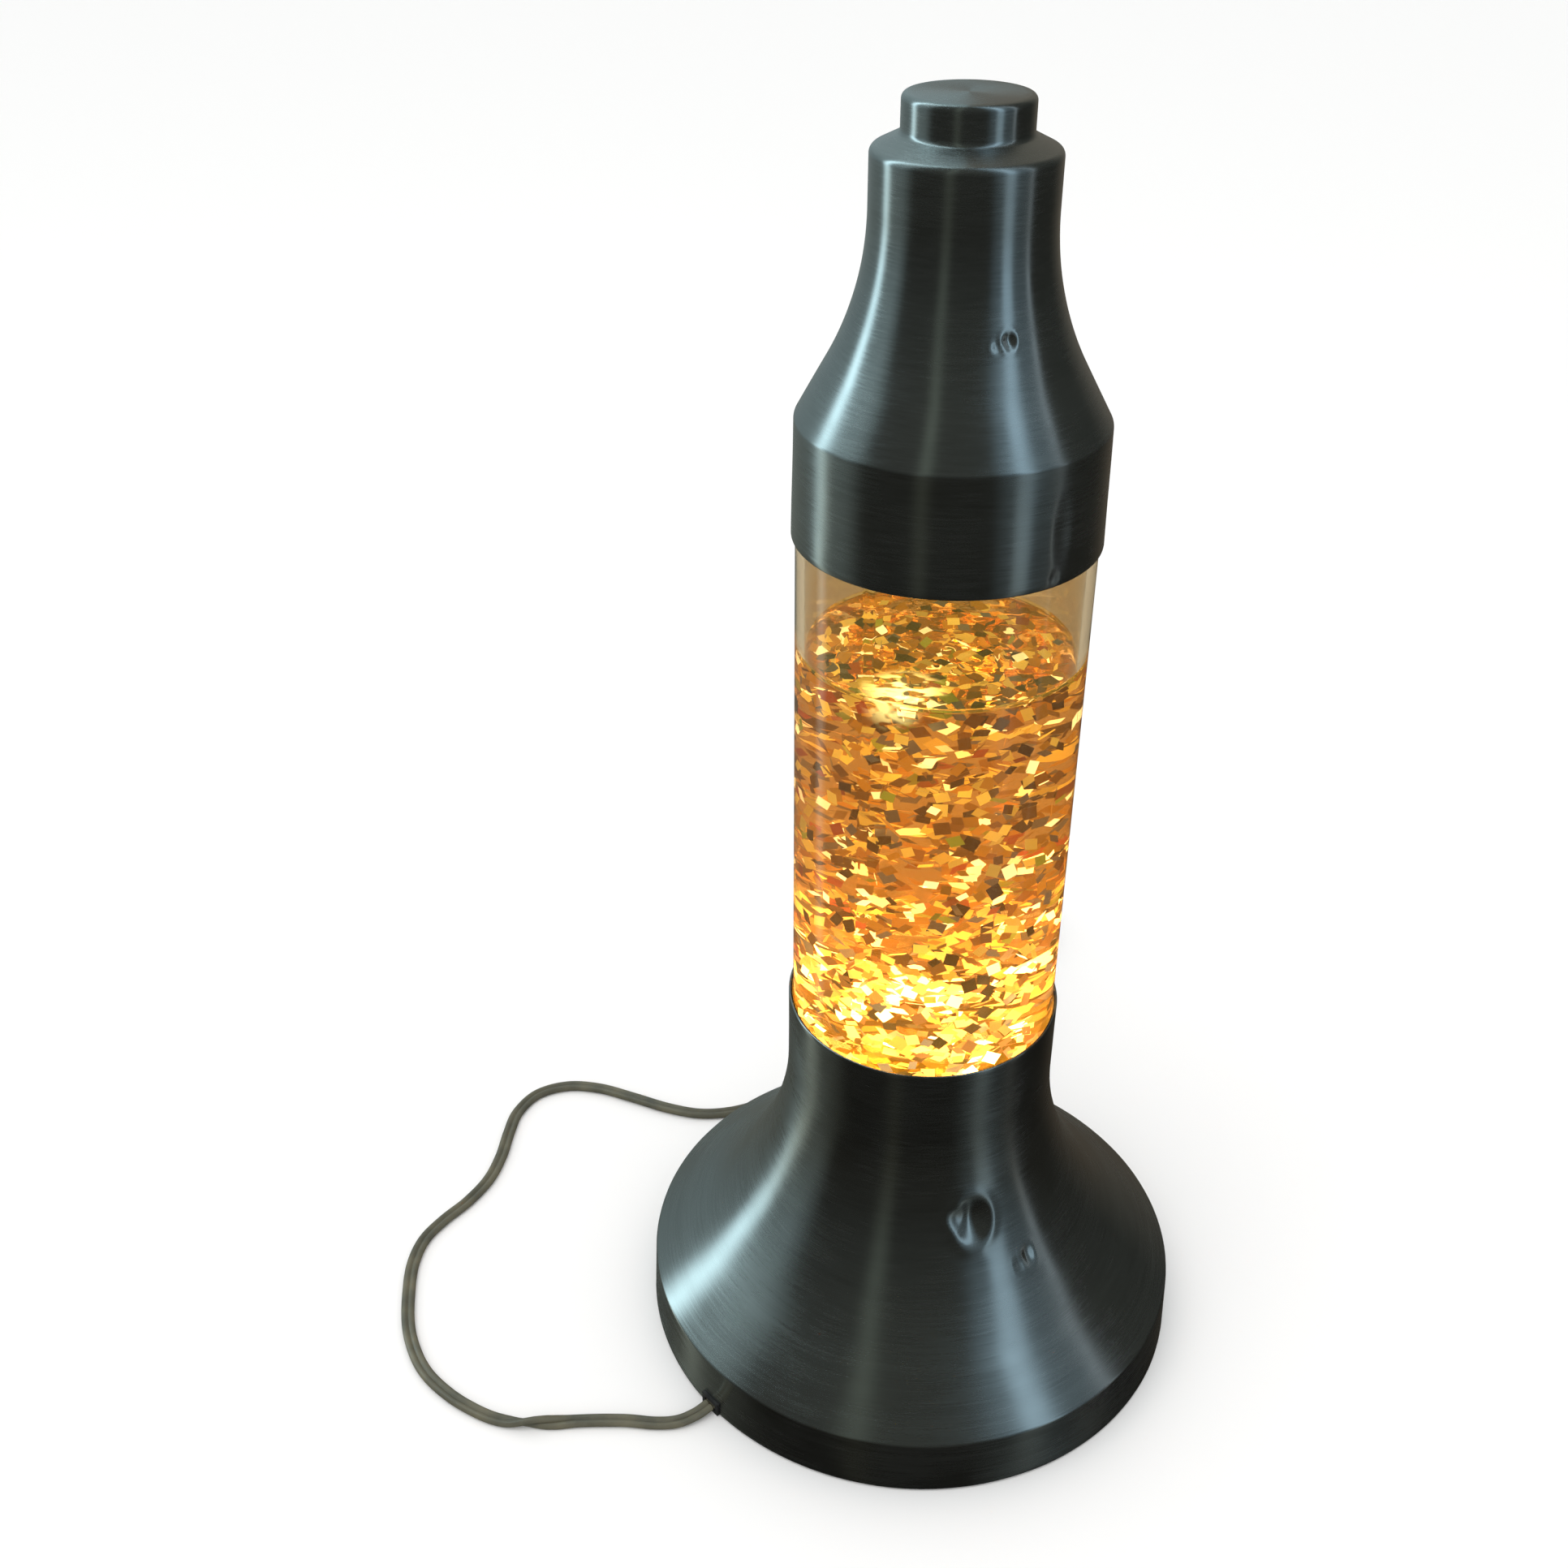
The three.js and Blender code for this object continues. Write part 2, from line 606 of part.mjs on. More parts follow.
// ---------------------------------------------------------------- bottle, liquid and closure
const mouthTop = BOTTLE_HEIGHT;
piece(vessel, "glass_bottle", spun(rounded([
  [0, 0],
  [BOTTLE_RADIUS, 0, 4],
  [BOTTLE_RADIUS, bottleShoulder, 9, 3],
  [MOUTH_RADIUS, bottleShoulder + SHOULDER_RISE, 5],
  [MOUTH_RADIUS, mouthTop],
]), GLASS_WALL, 40), look.glass);
const liquidRadius = BOTTLE_RADIUS - GLASS_WALL - GAP;
piece(vessel, "glitter_liquid", turned(rounded([
  [0, GLASS_WALL + GAP],
  [liquidRadius, GLASS_WALL + GAP, 2],
  [liquidRadius, liquidTop],
  [0, liquidTop],
]), 40), look.liquid);
const SEAL_HEIGHT = 1.6;
piece(vessel, "closure_seal",
  rod(MOUTH_RADIUS, mouthTop + GAP, mouthTop + GAP + SEAL_HEIGHT, 32), look.rubber);
const CLOSURE_SHEET = 1.2;
const CLOSURE_SKIRT = 11;
const closureInside = MOUTH_RADIUS + GAP;
const closureUnder = mouthTop + 2 * GAP + SEAL_HEIGHT;
piece(vessel, "bottle_closure", turned([
  ...rounded([
    [closureInside + CLOSURE_SHEET, mouthTop - CLOSURE_SKIRT],
    [closureInside + CLOSURE_SHEET, closureUnder + CLOSURE_SHEET, 1.5],
    [0, closureUnder + CLOSURE_SHEET],
  ]),
  [0, closureUnder],
  [closureInside, closureUnder],
  [closureInside, mouthTop - CLOSURE_SKIRT],
], 32), look.whitePlastic);

// ---------------------------------------------------------------- cap
piece(lamp, "cap_shell", spun(rounded([
  [bandRadius, capBottom],
  [bandRadius - BAND_TAPER, ridge, 3],
  [CAP_NECK_RADIUS, ridge + CONE_RISE, CONE_SWEEP, 5],
  [CAP_NECK_RADIUS, capShoulder, 2.5],
  [KNOB_RADIUS, knobBottom, 1.5],
  [KNOB_RADIUS, knobBottom + KNOB_HEIGHT, 1.8, 3],
  [0, knobBottom + KNOB_HEIGHT],
]), CAP_SHEET, 44), look.spunAluminium);

// Soft ring inside the band: it rests on the bottle's shoulder and carries the cap.
const LINER_WIDTH = 8;
const LINER_HEIGHT = 7;
const linerOutside = bandRadius - BAND_TAPER - CAP_SHEET - GAP;
const shoulderLevel = (radius) => {
  const share = (BOTTLE_RADIUS - radius) / (BOTTLE_RADIUS - MOUTH_RADIUS);
  return bottleBottom + bottleShoulder + SHOULDER_RISE * share + GAP;
};
const linerInside = linerOutside - LINER_WIDTH;
piece(lamp, "cap_liner", turned([
  [linerInside, shoulderLevel(linerInside)],
  [linerOutside, shoulderLevel(linerOutside)],
  [linerOutside, shoulderLevel(linerOutside) + LINER_HEIGHT],
  [linerInside, shoulderLevel(linerOutside) + LINER_HEIGHT],
], 32), look.felt);

// ---------------------------------------------------------------- where the cord enters
const GROMMET_BOTTOM = 0.4;
const TAIL_LENGTH = 22;
const GROMMET_LIP = 0.7; // how far it stands out of the skirt
function grommet() {
  const half = NOTCH_WIDTH / 2 - GAP;
  const flangeFront = skirtInside(NOTCH_TOP) - GAP - 0.4;
  const plugPart = box(
    flangeFront - 1, RIM_RADIUS + GROMMET_LIP, -half, half, GROMMET_BOTTOM, NOTCH_TOP - GAP,
  );
  const flange = box(flangeFront - 2, flangeFront, -half - 1.5, half + 1.5, GROMMET_BOTTOM, NOTCH_TOP + 1.5);
  const tailHeight = EXIT_LEVEL - GROMMET_BOTTOM;
  const tail = cleaned(new THREE.CylinderGeometry(3.6, half, TAIL_LENGTH, 16))
    .rotateZ(Math.PI / 2)
    .scale(1, 1, tailHeight / half)
    .translate(flangeFront - 1.5 - TAIL_LENGTH / 2, 0, EXIT_LEVEL);
  const bore = box(
    flangeFront - TAIL_LENGTH - 9, RIM_RADIUS + 9,
    -CORD_WIDTH / 2 - GAP, CORD_WIDTH / 2 + GAP,
    EXIT_LEVEL - CORD_THICKNESS / 2 - GAP, EXIT_LEVEL + CORD_THICKNESS / 2 + GAP,
  );
  return cut(joined(plugPart, flange, tail), bore);
}
piece(toCord, "cord_grommet", grommet(), look.rubber);

// Flex inside the base, from the grommet to where its cores part.
const coresPart = clampPlace - 8;
piece(toCord, "cord_inside", tube([
  [RIM_RADIUS + GROMMET_LIP - GAP, 0, EXIT_LEVEL],
  [RIM_RADIUS - 8, 0, EXIT_LEVEL],
  [RIM_RADIUS - 2 - TAIL_LENGTH, 0, EXIT_LEVEL],
  [clampPlace + 15, 0, EXIT_LEVEL + 0.9],
  [clampPlace + CLAMP_LENGTH, 0, cordOnPan - 0.3],
  [clampPlace + 3, 0, cordOnPan],
  [coresPart, 0, cordOnPan],
], [CORD_WIDTH, CORD_THICKNESS], 8, 16), look.flex);

function clamp() {
  const inHalf = CORD_WIDTH / 2 + GAP;
  const inTop = cordOnPan + CORD_THICKNESS / 2 + GAP;
  const foot = panTop + GAP;
  const reach = CLAMP_SCREW_PLACE + 3;
  const side = [
    [reach, foot],
    [reach, foot + CLAMP_SHEET],
    [inHalf + CLAMP_SHEET, foot + CLAMP_SHEET],
    [inHalf + CLAMP_SHEET, inTop + CLAMP_SHEET],
  ];
  const under = [[inHalf, inTop], [inHalf, foot]];
  const mirror = (list) => list.map(([y, z]) => [-y, z]).reverse();
  const strap = raised([...side, ...mirror(side), ...mirror(under), ...under], 0, CLAMP_LENGTH)
    .rotateX(Math.PI / 2)
    .rotateZ(Math.PI / 2)
    .translate(clampPlace - CLAMP_LENGTH / 2, 0, 0);
  const holes = [-1, 1].map((s) =>
    drill(SCREW_RADIUS + GAP).translate(clampPlace, s * CLAMP_SCREW_PLACE, 0),
  );
  return cut(strap, ...holes);
}
piece(toCord, "cord_clamp", clamp(), look.zinc);
[-1, 1].forEach((side, i) => {
  const head = panTop + 2 * GAP + CLAMP_SHEET;
  const slot = box(-3, 3, -0.35, 0.35, head + 1, head + 3);
  const screw = turned([
    [0, PAN_LEVEL - 1.4],
    [SCREW_RADIUS, PAN_LEVEL - 1],
    [SCREW_RADIUS, head],
    [2.3, head],
    [2.1, head + 1.3],
    [0, head + 1.8],
  ], 16);
  piece(toCord, `clamp_screw_${i + 1}`,
    cut(screw, slot).translate(clampPlace, side * CLAMP_SCREW_PLACE, 0), look.zinc);
});

// The two cores, up through the nipple.
const cores = [["live_wire", 1, look.liveWire], ["neutral_wire", -1, look.neutralWire]];
cores.forEach(([name, side, material]) => {
  const apart = WIRE_RADIUS + 0.3;
  piece(toCord, name, tube([
    [coresPart - GAP, side * apart, cordOnPan],
    [coresPart * 0.85, side * apart * 1.5, cordOnPan + 0.6],
    [coresPart * 0.53, side * apart * 2.6, cordOnPan + 2.4],
    [coresPart * 0.27, side * apart * 2.2, cordOnPan + 3],
    [coresPart * 0.09, side * apart * 1.4, cordOnPan + 4.2],
    [0, side * apart, NIPPLE_BOTTOM - 1],
    [0, side * apart, nippleTop - 2],
  ], [2 * WIRE_RADIUS, 2 * WIRE_RADIUS], 8, 14), material);
});

// ---------------------------------------------------------------- free cord, coil and tie
const flexSection = [CORD_WIDTH, CORD_THICKNESS];
piece(lamp, "cord_to_switch", tube(CORD_TO_SWITCH, flexSection, 8, 64), look.flex);
piece(lamp, "cord_to_coil", tube(CORD_TO_COIL, flexSection, 8, 10), look.flex);
piece(lamp, "cord_to_plug", tube(CORD_TO_PLUG, flexSection, 8, 3), look.flex);

const coilTop = COIL_BOTTOM + COIL_HEIGHT;
const coil = turned([
  [COIL_INNER, COIL_BOTTOM + 1],
  [COIL_INNER + 1, COIL_BOTTOM],
  [COIL_OUTER - 1, COIL_BOTTOM],
  [COIL_OUTER, COIL_BOTTOM + 1],
  [COIL_OUTER, coilTop - 1],
  [COIL_OUTER - 1, coilTop],
  [COIL_INNER + 1, coilTop],
  [COIL_INNER, coilTop - 1],
], 32).translate(...COIL_CENTRE, 0);
piece(lamp, "cord_coil", coil, look.flex);
const tieBand = (clearance, width) => box(
  -COIL_OUTER - clearance, -COIL_INNER + clearance, -width / 2, width / 2,
  COIL_BOTTOM - clearance, coilTop + clearance,
);
piece(lamp, "coil_tie", cut(tieBand(GAP + TIE_SHEET, TIE_WIDTH), tieBand(GAP, 2 * TIE_WIDTH))
  .translate(...COIL_CENTRE, 0), look.rubber);

// ---------------------------------------------------------------- in-line switch
const SWITCH_CORNER = 7;
const SWITCH_SCREW_PLACE = 21.5;
const SWITCH_SCREW_SIDE = 6.4; // off the switch's centre line, clear of the cord
const SWITCH_SCREW_RADIUS = 1.1;
const SWITCH_SCREW_HEAD = 2.2;
const switchOutline = roundRectangle(SWITCH_LENGTH, SWITCH_WIDTH, SWITCH_CORNER);
const pocket = roundRectangle(
  SWITCH_LENGTH - 2 * SWITCH_WALL - 10, SWITCH_WIDTH - 2 * SWITCH_WALL, SWITCH_CORNER - SWITCH_WALL,
);
const cordWay = () => box(
  -SWITCH_LENGTH, SWITCH_LENGTH, -CORD_WIDTH / 2 - GAP, CORD_WIDTH / 2 + GAP,
  SWITCH_SPLIT - CORD_THICKNESS / 2 - GAP, SWITCH_SPLIT + CORD_THICKNESS / 2 + GAP,
);
const switchScrews = (radius, bottom, top) => [-1, 1].map((side) =>
  rod(radius, bottom, top, 12).translate(side * SWITCH_SCREW_PLACE, side * SWITCH_SCREW_SIDE, 0),
);
const SCREW_SINK = 2;
piece(inlineSwitch, "switch_bottom", cut(
  raised(switchOutline, 0, SWITCH_SPLIT - GAP / 2),
  raised(pocket, SWITCH_WALL, SWITCH_SPLIT + 1),
  cordWay(),
  ...switchScrews(SWITCH_SCREW_RADIUS + GAP, -1, SWITCH_SPLIT + 1),
  ...switchScrews(SWITCH_SCREW_HEAD + GAP, -1, SCREW_SINK),
), look.bakelite);
piece(inlineSwitch, "switch_top", cut(
  raised(switchOutline, SWITCH_SPLIT + GAP / 2, SWITCH_HEIGHT),
  raised(pocket, SWITCH_SPLIT - 1, SWITCH_HEIGHT - SWITCH_WALL),
  cordWay(),
  box(
    -ROCKER_LENGTH / 2 - 0.8, ROCKER_LENGTH / 2 + 0.8, -ROCKER_WIDTH / 2 - 0.4, ROCKER_WIDTH / 2 + 0.4,
    SWITCH_SPLIT, SWITCH_HEIGHT + 1,
  ),
  ...switchScrews(SWITCH_SCREW_RADIUS + GAP, SWITCH_SPLIT - 1, SWITCH_HEIGHT - 2),
), look.bakelite);
switchScrews(SWITCH_SCREW_RADIUS, SCREW_SINK - 1.2, SWITCH_HEIGHT - 2.5).forEach((shank, i) => {
  const heads = switchScrews(SWITCH_SCREW_HEAD, SCREW_SINK - 1.6, SCREW_SINK - GAP);
  piece(inlineSwitch, `switch_screw_${i + 1}`, joined(shank, heads[i]), look.zinc);
});
const rockerHalf = ROCKER_LENGTH / 2;
const rocker = raised([
  [-rockerHalf + 1, -1.6],
  [-2.5, -2.2],
  [2.5, -2.2],
  [rockerHalf - 1, -1.6],
  [rockerHalf, 3.9],
  [rockerHalf - 0.8, 4.1],
  [0, 2.9],
  [-rockerHalf + 0.8, 4.1],
  [-rockerHalf, 3.9],
], -ROCKER_WIDTH / 2, ROCKER_WIDTH / 2)
  .rotateX(Math.PI / 2)
  .rotateY(radians(ROCKER_TILT))
  .translate(0, 0, ROCKER_PIVOT);
piece(inlineSwitch, "switch_rocker", rocker, look.whitePlastic);

// ---------------------------------------------------------------- plug
function plugBody() {
  const [front, back] = [PLUG_WIDTH / 2, 7];
  const outline = rounded([
    [-back, 0],
    [back, 0],
    [front, 9, 6],
    [front, PLUG_LENGTH],
    [-front, PLUG_LENGTH],
    [-front, 9, 6],
    [-back, 0],
  ]).slice(1);
  const bulk = raised(outline, -PLUG_HEIGHT / 2, PLUG_HEIGHT / 2);
  const relief = cleaned(new THREE.CylinderGeometry(5.2, 3.6, PLUG_RELIEF + 2, 16))
    .translate(0, 1 - PLUG_RELIEF / 2, 0);
  const slots = [-1, 1].map((side) => box(
    (side * BLADE_SPACING - BLADE_SHEET) / 2 - GAP, (side * BLADE_SPACING + BLADE_SHEET) / 2 + GAP,
    PLUG_LENGTH - BLADE_SOCKET, PLUG_LENGTH + 1, -BLADE_WIDTH / 2 - GAP, BLADE_WIDTH / 2 + GAP,
  ));
  return cut(joined(bulk, relief), ...slots);
}
piece(plug, "plug_body", plugBody(), look.bakelite);
[-1, 1].forEach((side, i) => {
  piece(plug, `plug_blade_${i + 1}`, box(
    (side * BLADE_SPACING - BLADE_SHEET) / 2, (side * BLADE_SPACING + BLADE_SHEET) / 2,
    PLUG_LENGTH - BLADE_SOCKET + GAP, PLUG_LENGTH + BLADE_LENGTH, -BLADE_WIDTH / 2, BLADE_WIDTH / 2,
  ), look.brass);
});

export default lamp;
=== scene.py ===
"""A glitter lamp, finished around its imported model.

Spun aluminium trumpet base and cap, a glass bottle of amber liquid full of metallised squares, a reflector
bulb in its lampholder, and a flat two-core flex with an in-line switch, a stored coil and a plug.
Lengths are in metres, and MM turns millimetres into metres. The flex's route and the outlines of the smaller
parts are written in millimetres and scaled when they are made.
"""

import math
import random

import bmesh
import bpy
from mathutils import Matrix, Vector, noise


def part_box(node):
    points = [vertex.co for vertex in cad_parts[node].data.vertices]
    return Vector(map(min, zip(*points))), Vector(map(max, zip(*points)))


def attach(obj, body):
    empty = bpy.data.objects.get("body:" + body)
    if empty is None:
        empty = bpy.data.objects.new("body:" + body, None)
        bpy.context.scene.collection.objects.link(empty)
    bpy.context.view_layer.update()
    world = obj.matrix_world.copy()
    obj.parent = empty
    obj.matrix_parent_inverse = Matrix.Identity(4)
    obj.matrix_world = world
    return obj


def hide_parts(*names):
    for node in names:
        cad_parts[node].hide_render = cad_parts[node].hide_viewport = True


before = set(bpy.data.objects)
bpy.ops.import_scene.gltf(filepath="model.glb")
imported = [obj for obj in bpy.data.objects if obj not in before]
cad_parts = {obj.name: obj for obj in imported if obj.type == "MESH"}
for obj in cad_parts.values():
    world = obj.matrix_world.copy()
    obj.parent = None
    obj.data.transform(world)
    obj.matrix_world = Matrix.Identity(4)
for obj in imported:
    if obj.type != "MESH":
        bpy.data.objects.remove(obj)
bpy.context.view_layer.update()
MM = 0.001

# ---------------------------------------------------------------- sizes, from the frame where it has them
base_low, base_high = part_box("base_shell")
cap_low, cap_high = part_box("cap_shell")
glass_low, glass_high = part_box("glass_bottle")
_, liquid_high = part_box("glitter_liquid")
RIM_RADIUS = base_high.x
RIM_BOTTOM = base_low.z
COLLAR_TOP = base_high.z
GLASS_RADIUS = glass_high.x
BOTTLE_BOTTOM = glass_low.z
CAP_BOTTOM = cap_low.z
CAP_TOP = cap_high.z
LIQUID_TOP = liquid_high.z

BASE_SHEET = 1.1 * MM
CAP_SHEET = 0.8 * MM
GLASS_WALL = 3 * MM
RIM_DRAFT = 1 * MM
RIM_HEIGHT = 22 * MM
FLARE_ANGLE = math.radians(46)  # from vertical, next to the rim
FLARE_RADIUS = 104 * MM  # sweep from the flare into the neck
GLASS_FIT = 0.4 * MM  # clearance between the glass and either shell
NECK_RADIUS = GLASS_RADIUS + GLASS_FIT + BASE_SHEET
CORD_WIDTH = 5 * MM
CORD_THICKNESS = 2.6 * MM


# ---------------------------------------------------------------- material helpers
def colour(code):
    """An sRGB hex value as a linear colour with an alpha of 1."""
    parts = [int(code[i : i + 2], 16) / 255 for i in (1, 3, 5)]
    linear = [p / 12.92 if p <= 0.04045 else ((p + 0.055) / 1.055) ** 2.4 for p in parts]
    return (*linear, 1)


def node(tree, kind, inputs=(), **settings):
    """Adds a shader node. An input is a value, or another node's output to link."""
    made = tree.nodes.new("ShaderNode" + kind)
    for name, value in settings.items():
        setattr(made, name, value)
    for name, value in dict(inputs).items():
        if isinstance(value, bpy.types.NodeSocket):
            tree.links.new(value, made.inputs[name])
        else:
            made.inputs[name].default_value = value
    return made


def start_material(name):
    """An empty material, its tree and its object coordinates."""
    made = bpy.data.materials.new(name)
    made.use_nodes = True
    tree = made.node_tree
    tree.nodes.clear()
    return made, tree, node(tree, "TexCoord").outputs["Object"]


def finish_material(tree, inputs):
    shader = node(tree, "BsdfPrincipled", inputs)
    output = node(tree, "OutputMaterial")
    tree.links.new(shader.outputs["BSDF"], output.inputs["Surface"])
    return shader


def blotches(tree, place, size, low, high, detail=3):
    """A noise of about the given size in metres, as a number between low and high."""
    pattern = node(tree, "TexNoise", {"Vector": place, "Scale": 1 / size, "Detail": detail})
    return node(tree, "MapRange", {
        "Value": pattern.outputs["Fac"], "From Min": 0.3, "From Max": 0.7, "To Min": low, "To Max": high,
    }).outputs["Result"]


def tinted(tree, amount, first, second):
    """A colour between two sRGB hex colours."""
    mix = node(tree, "MixRGB", {"Fac": amount, "Color1": colour(first), "Color2": colour(second)})
    return mix.outputs["Color"]


def moulded(name, code, worn, roughness, size=4 * MM, grain=0.02 * MM, **extra):
    """A moulded or pressed part: a slightly uneven tone, a dust-dulled gloss and a fine surface."""
    made, tree, place = start_material(name)
    tone = tinted(tree, blotches(tree, place, size, 0, 1), code, worn)
    gloss = blotches(tree, place, size * 0.6, roughness * 0.85, roughness * 1.2)
    fine = node(tree, "TexNoise", {"Vector": place, "Scale": 1 / (0.7 * MM), "Detail": 2})
    bump = node(tree, "Bump", {"Height": fine.outputs["Fac"], "Distance": grain, "Strength": 0.6})
    finish_material(tree, {
        "Base Color": tone, "Roughness": gloss, "Normal": bump.outputs["Normal"], **extra,
    })
    return made


# ---------------------------------------------------------------- mesh helpers
def rounded(corners):
    """Rounds an outline. Each corner is (x, y) or (x, y, radius, steps)."""
    out = []
    for i, corner in enumerate(corners):
        here = Vector(corner[:2])
        if len(corner) == 2:
            out.append(here)
            continue
        radius, steps = corner[2:]
        back = (Vector(corners[i - 1][:2]) - here).normalized()
        ahead = (Vector(corners[i + 1][:2]) - here).normalized()
        turn = math.pi - back.angle(ahead)
        reach = radius * math.tan(turn / 2)
        centre = here + (back + ahead).normalized() * math.hypot(radius, reach)
        first = here + back * reach - centre
        side = math.copysign(1, first.cross(here + ahead * reach - centre))
        out += [centre + Matrix.Rotation(side * turn * k / steps, 2) @ first for k in range(steps + 1)]
    return out


def object_of(bm, name, smooth=None):
    """Makes the bmesh an object. Smooth is the angle in degrees up to which edges are shaded round."""
    mesh = bpy.data.meshes.new(name)
    bm.to_mesh(mesh)
    bm.free()
    made = bpy.data.objects.new(name, mesh)
    bpy.context.scene.collection.objects.link(made)
    if smooth is not None:
        mesh.shade_smooth()
        mesh.set_sharp_from_angle(angle=math.radians(smooth))
    return made


def spun_bmesh(outline, steps):
    """Spins (radius, height) points about the lamp's axis."""
    bm = bmesh.new()
    points = [bm.verts.new((p[0], 0, p[1])) for p in outline]
    wire = [bm.edges.new(pair) for pair in zip(points, points[1:])]
    bmesh.ops.spin(bm, geom=points + wire, cent=(0, 0, 0), axis=(0, 0, 1), angle=math.tau, steps=steps,
                   use_merge=True)
    bmesh.ops.remove_doubles(bm, verts=bm.verts, dist=1e-6)
    bmesh.ops.recalc_face_normals(bm, faces=bm.faces)
    return bm


def divided(corners):
    """Gives straight runs points of their own, so that a dent has something to push."""
    out = []
    for a, b in zip(corners, corners[1:]):
        pieces = max(1, round((b - a).length / (1.5 * MM)))
        out += [a.lerp(b, k / pieces) for k in range(pieces)]
    return [*out, corners[-1]]


def place(piece, body, slot, material, *nodes):
    """Says what a piece rides on, which finish it takes, and which solids it stands for."""
    piece.data.materials.clear()
    piece.data.materials.append(material)
    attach(piece, body)
    if nodes:
        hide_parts(*nodes)
    return piece


# ---------------------------------------------------------------- camera
def make_camera():
    data = bpy.data.cameras.new("camera")
    data.sensor_width = 36
    data.lens = 40.67
    data.clip_start = 0.02
    camera = bpy.data.objects.new("camera", data)
    camera.location = (0, -0.4869, 0.5305)
    camera.rotation_euler = (math.radians(57.835), 0, math.radians(5.683))
    bpy.context.scene.collection.objects.link(camera)
    bpy.context.scene.camera = camera


make_camera()

# ---------------------------------------------------------------- flex
# The free flex's route in millimetres: from the grommet to the switch ...
TO_SWITCH = [
    (-68.4, -71.6, 2.9), (-72.6, -75.6, 2.4), (-78.8, -78.9, 1.7), (-87, -80.2, 1.4),
    (-98, -80.2, 1.4), (-114, -82, 1.4), (-129, -85, 1.4), (-143, -84.2, 1.4),
    (-155, -79.8, 1.4), (-165, -74, 1.4), (-174, -66.5, 1.4), (-181, -57, 1.4),
    (-186.5, -45.5, 1.4), (-190.5, -31, 1.4), (-193, -16, 1.4), (-192, -3, 1.4),
    (-187, 8, 1.4), (-180, 19, 1.4), (-174.5, 32, 1.4), (-172.5, 46, 1.4),
    (-172.5, 60, 1.4), (-171.5, 73, 1.4), (-165.5, 85, 1.4), (-153.5, 91.5, 1.4),
    (-139, 91.5, 1.4), (-123, 87, 1.4), (-107, 82, 1.4), (-92, 80, 1.4),
    (-77, 83.5, 1.4), (-63, 92, 1.6), (-51, 102, 2.4), (-40, 110, 4), (-28, 114, 5),
]
# ... from the switch to the coil, and from the coil to the plug.
TO_COIL = [
    (28, 114, 5), (36, 116, 4.6), (43, 121, 4), (47, 129, 3.6), (48, 138, 3.4),
    (47, 147, 3.3), (45.2, 155, 3.3),
]
TO_PLUG = [(44.2, 180, 8.2), (44.2, 184.5, 7.6), (44, 188, 7), (44, 191.6, 6.4), (44, 194, 6.3)]
COIL_CENTRE = Vector((8, 168, 0))
COIL_TURNS = 7
COIL_OUTER = 34.6  # the flex's own centre line
COIL_INNER = 20.4
LAYERS = (3.3, 8.5)  # heights of the coil's two layers
STEPS_PER_TURN = 36
JOINING = 0.22  # share of a turn in which the flex settles on to the coil, or leaves it
CLIMBING = 0.45  # share of a turn in which it climbs to the upper layer
TWIST_PLACE = Vector((-129, -85))  # where the free flex turns over
TWIST_LENGTH = 30
FRONT_STRETCH = -60  # the twist is in the stretch that lies in front of this
TURN_UP_START, TURN_UP_LENGTH = 124, 22  # where the flex turns on edge before the coil
LAY_DOWN_LENGTH = 11  # in which it lies flat again after the coil
FLOOR_GAP = 0.2


def smooth_step(value):
    value = min(max(value, 0), 1)
    return value * value * (3 - 2 * value)


def coil_route():
    """The stored turns: inwards along the floor, then outwards on top, counter-clockwise."""
    first, last = (Vector(p) - COIL_CENTRE for p in (TO_COIL[-1], TO_PLUG[0]))
    start, end = math.atan2(first.y, first.x), math.atan2(last.y, last.x) + COIL_TURNS * math.tau
    count = STEPS_PER_TURN * COIL_TURNS
    points = []
    for k in range(1, count):
        share = k / count
        angle = start + (end - start) * share
        radius = COIL_INNER + (COIL_OUTER - COIL_INNER) * abs(2 * share - 1)
        joining = (share * COIL_TURNS / JOINING, (1 - share) * COIL_TURNS / JOINING)
        radius += (first.xy.length - COIL_OUTER) * (1 - smooth_step(joining[0]))
        radius += (last.xy.length - COIL_OUTER) * (1 - smooth_step(joining[1]))
        climbed = smooth_step((share - 0.5) * COIL_TURNS / CLIMBING + 0.5)
        height = LAYERS[0] + (LAYERS[1] - LAYERS[0]) * climbed
        points.append(COIL_CENTRE + Vector((radius * math.cos(angle), radius * math.sin(angle), height)))
    return points


def through(points, spacing=1.6):
    """A smooth line through the points, as close points a set distance apart."""
    points = [Vector(p) for p in points]
    points = [2 * points[0] - points[1], *points, 2 * points[-1] - points[-2]]
    fine = []
    for a, b, c, d in zip(points, points[1:], points[2:], points[3:]):
        pieces = max(4, round((c - b).length / 0.8))
        for k in range(pieces):
            t = k / pieces
            fine.append(0.5 * (
                2 * b + (c - a) * t + (2 * a - 5 * b + 4 * c - d) * t**2 + (3 * b - a - 3 * c + d) * t**3
            ))
    fine.append(points[-2])
    even, carried = [fine[0]], 0
    for a, b in zip(fine, fine[1:]):
        step = (b - a).length
        while carried + step >= spacing:
            a = a.lerp(b, (spacing - carried) / step)
            even.append(a.copy())
            step = (b - a).length
            carried = 0
        carried += step
    even.append(fine[-1])
    return even


def flex_roll(point):
    """How far the flat flex is turned about its own line: half a turn where it twists, else flat."""
    if abs(point.x - TWIST_PLACE.x) < TWIST_LENGTH and point.y < FRONT_STRETCH:
        return math.pi * smooth_step((TWIST_PLACE.x + TWIST_LENGTH / 2 - point.x) / TWIST_LENGTH)
    return 0


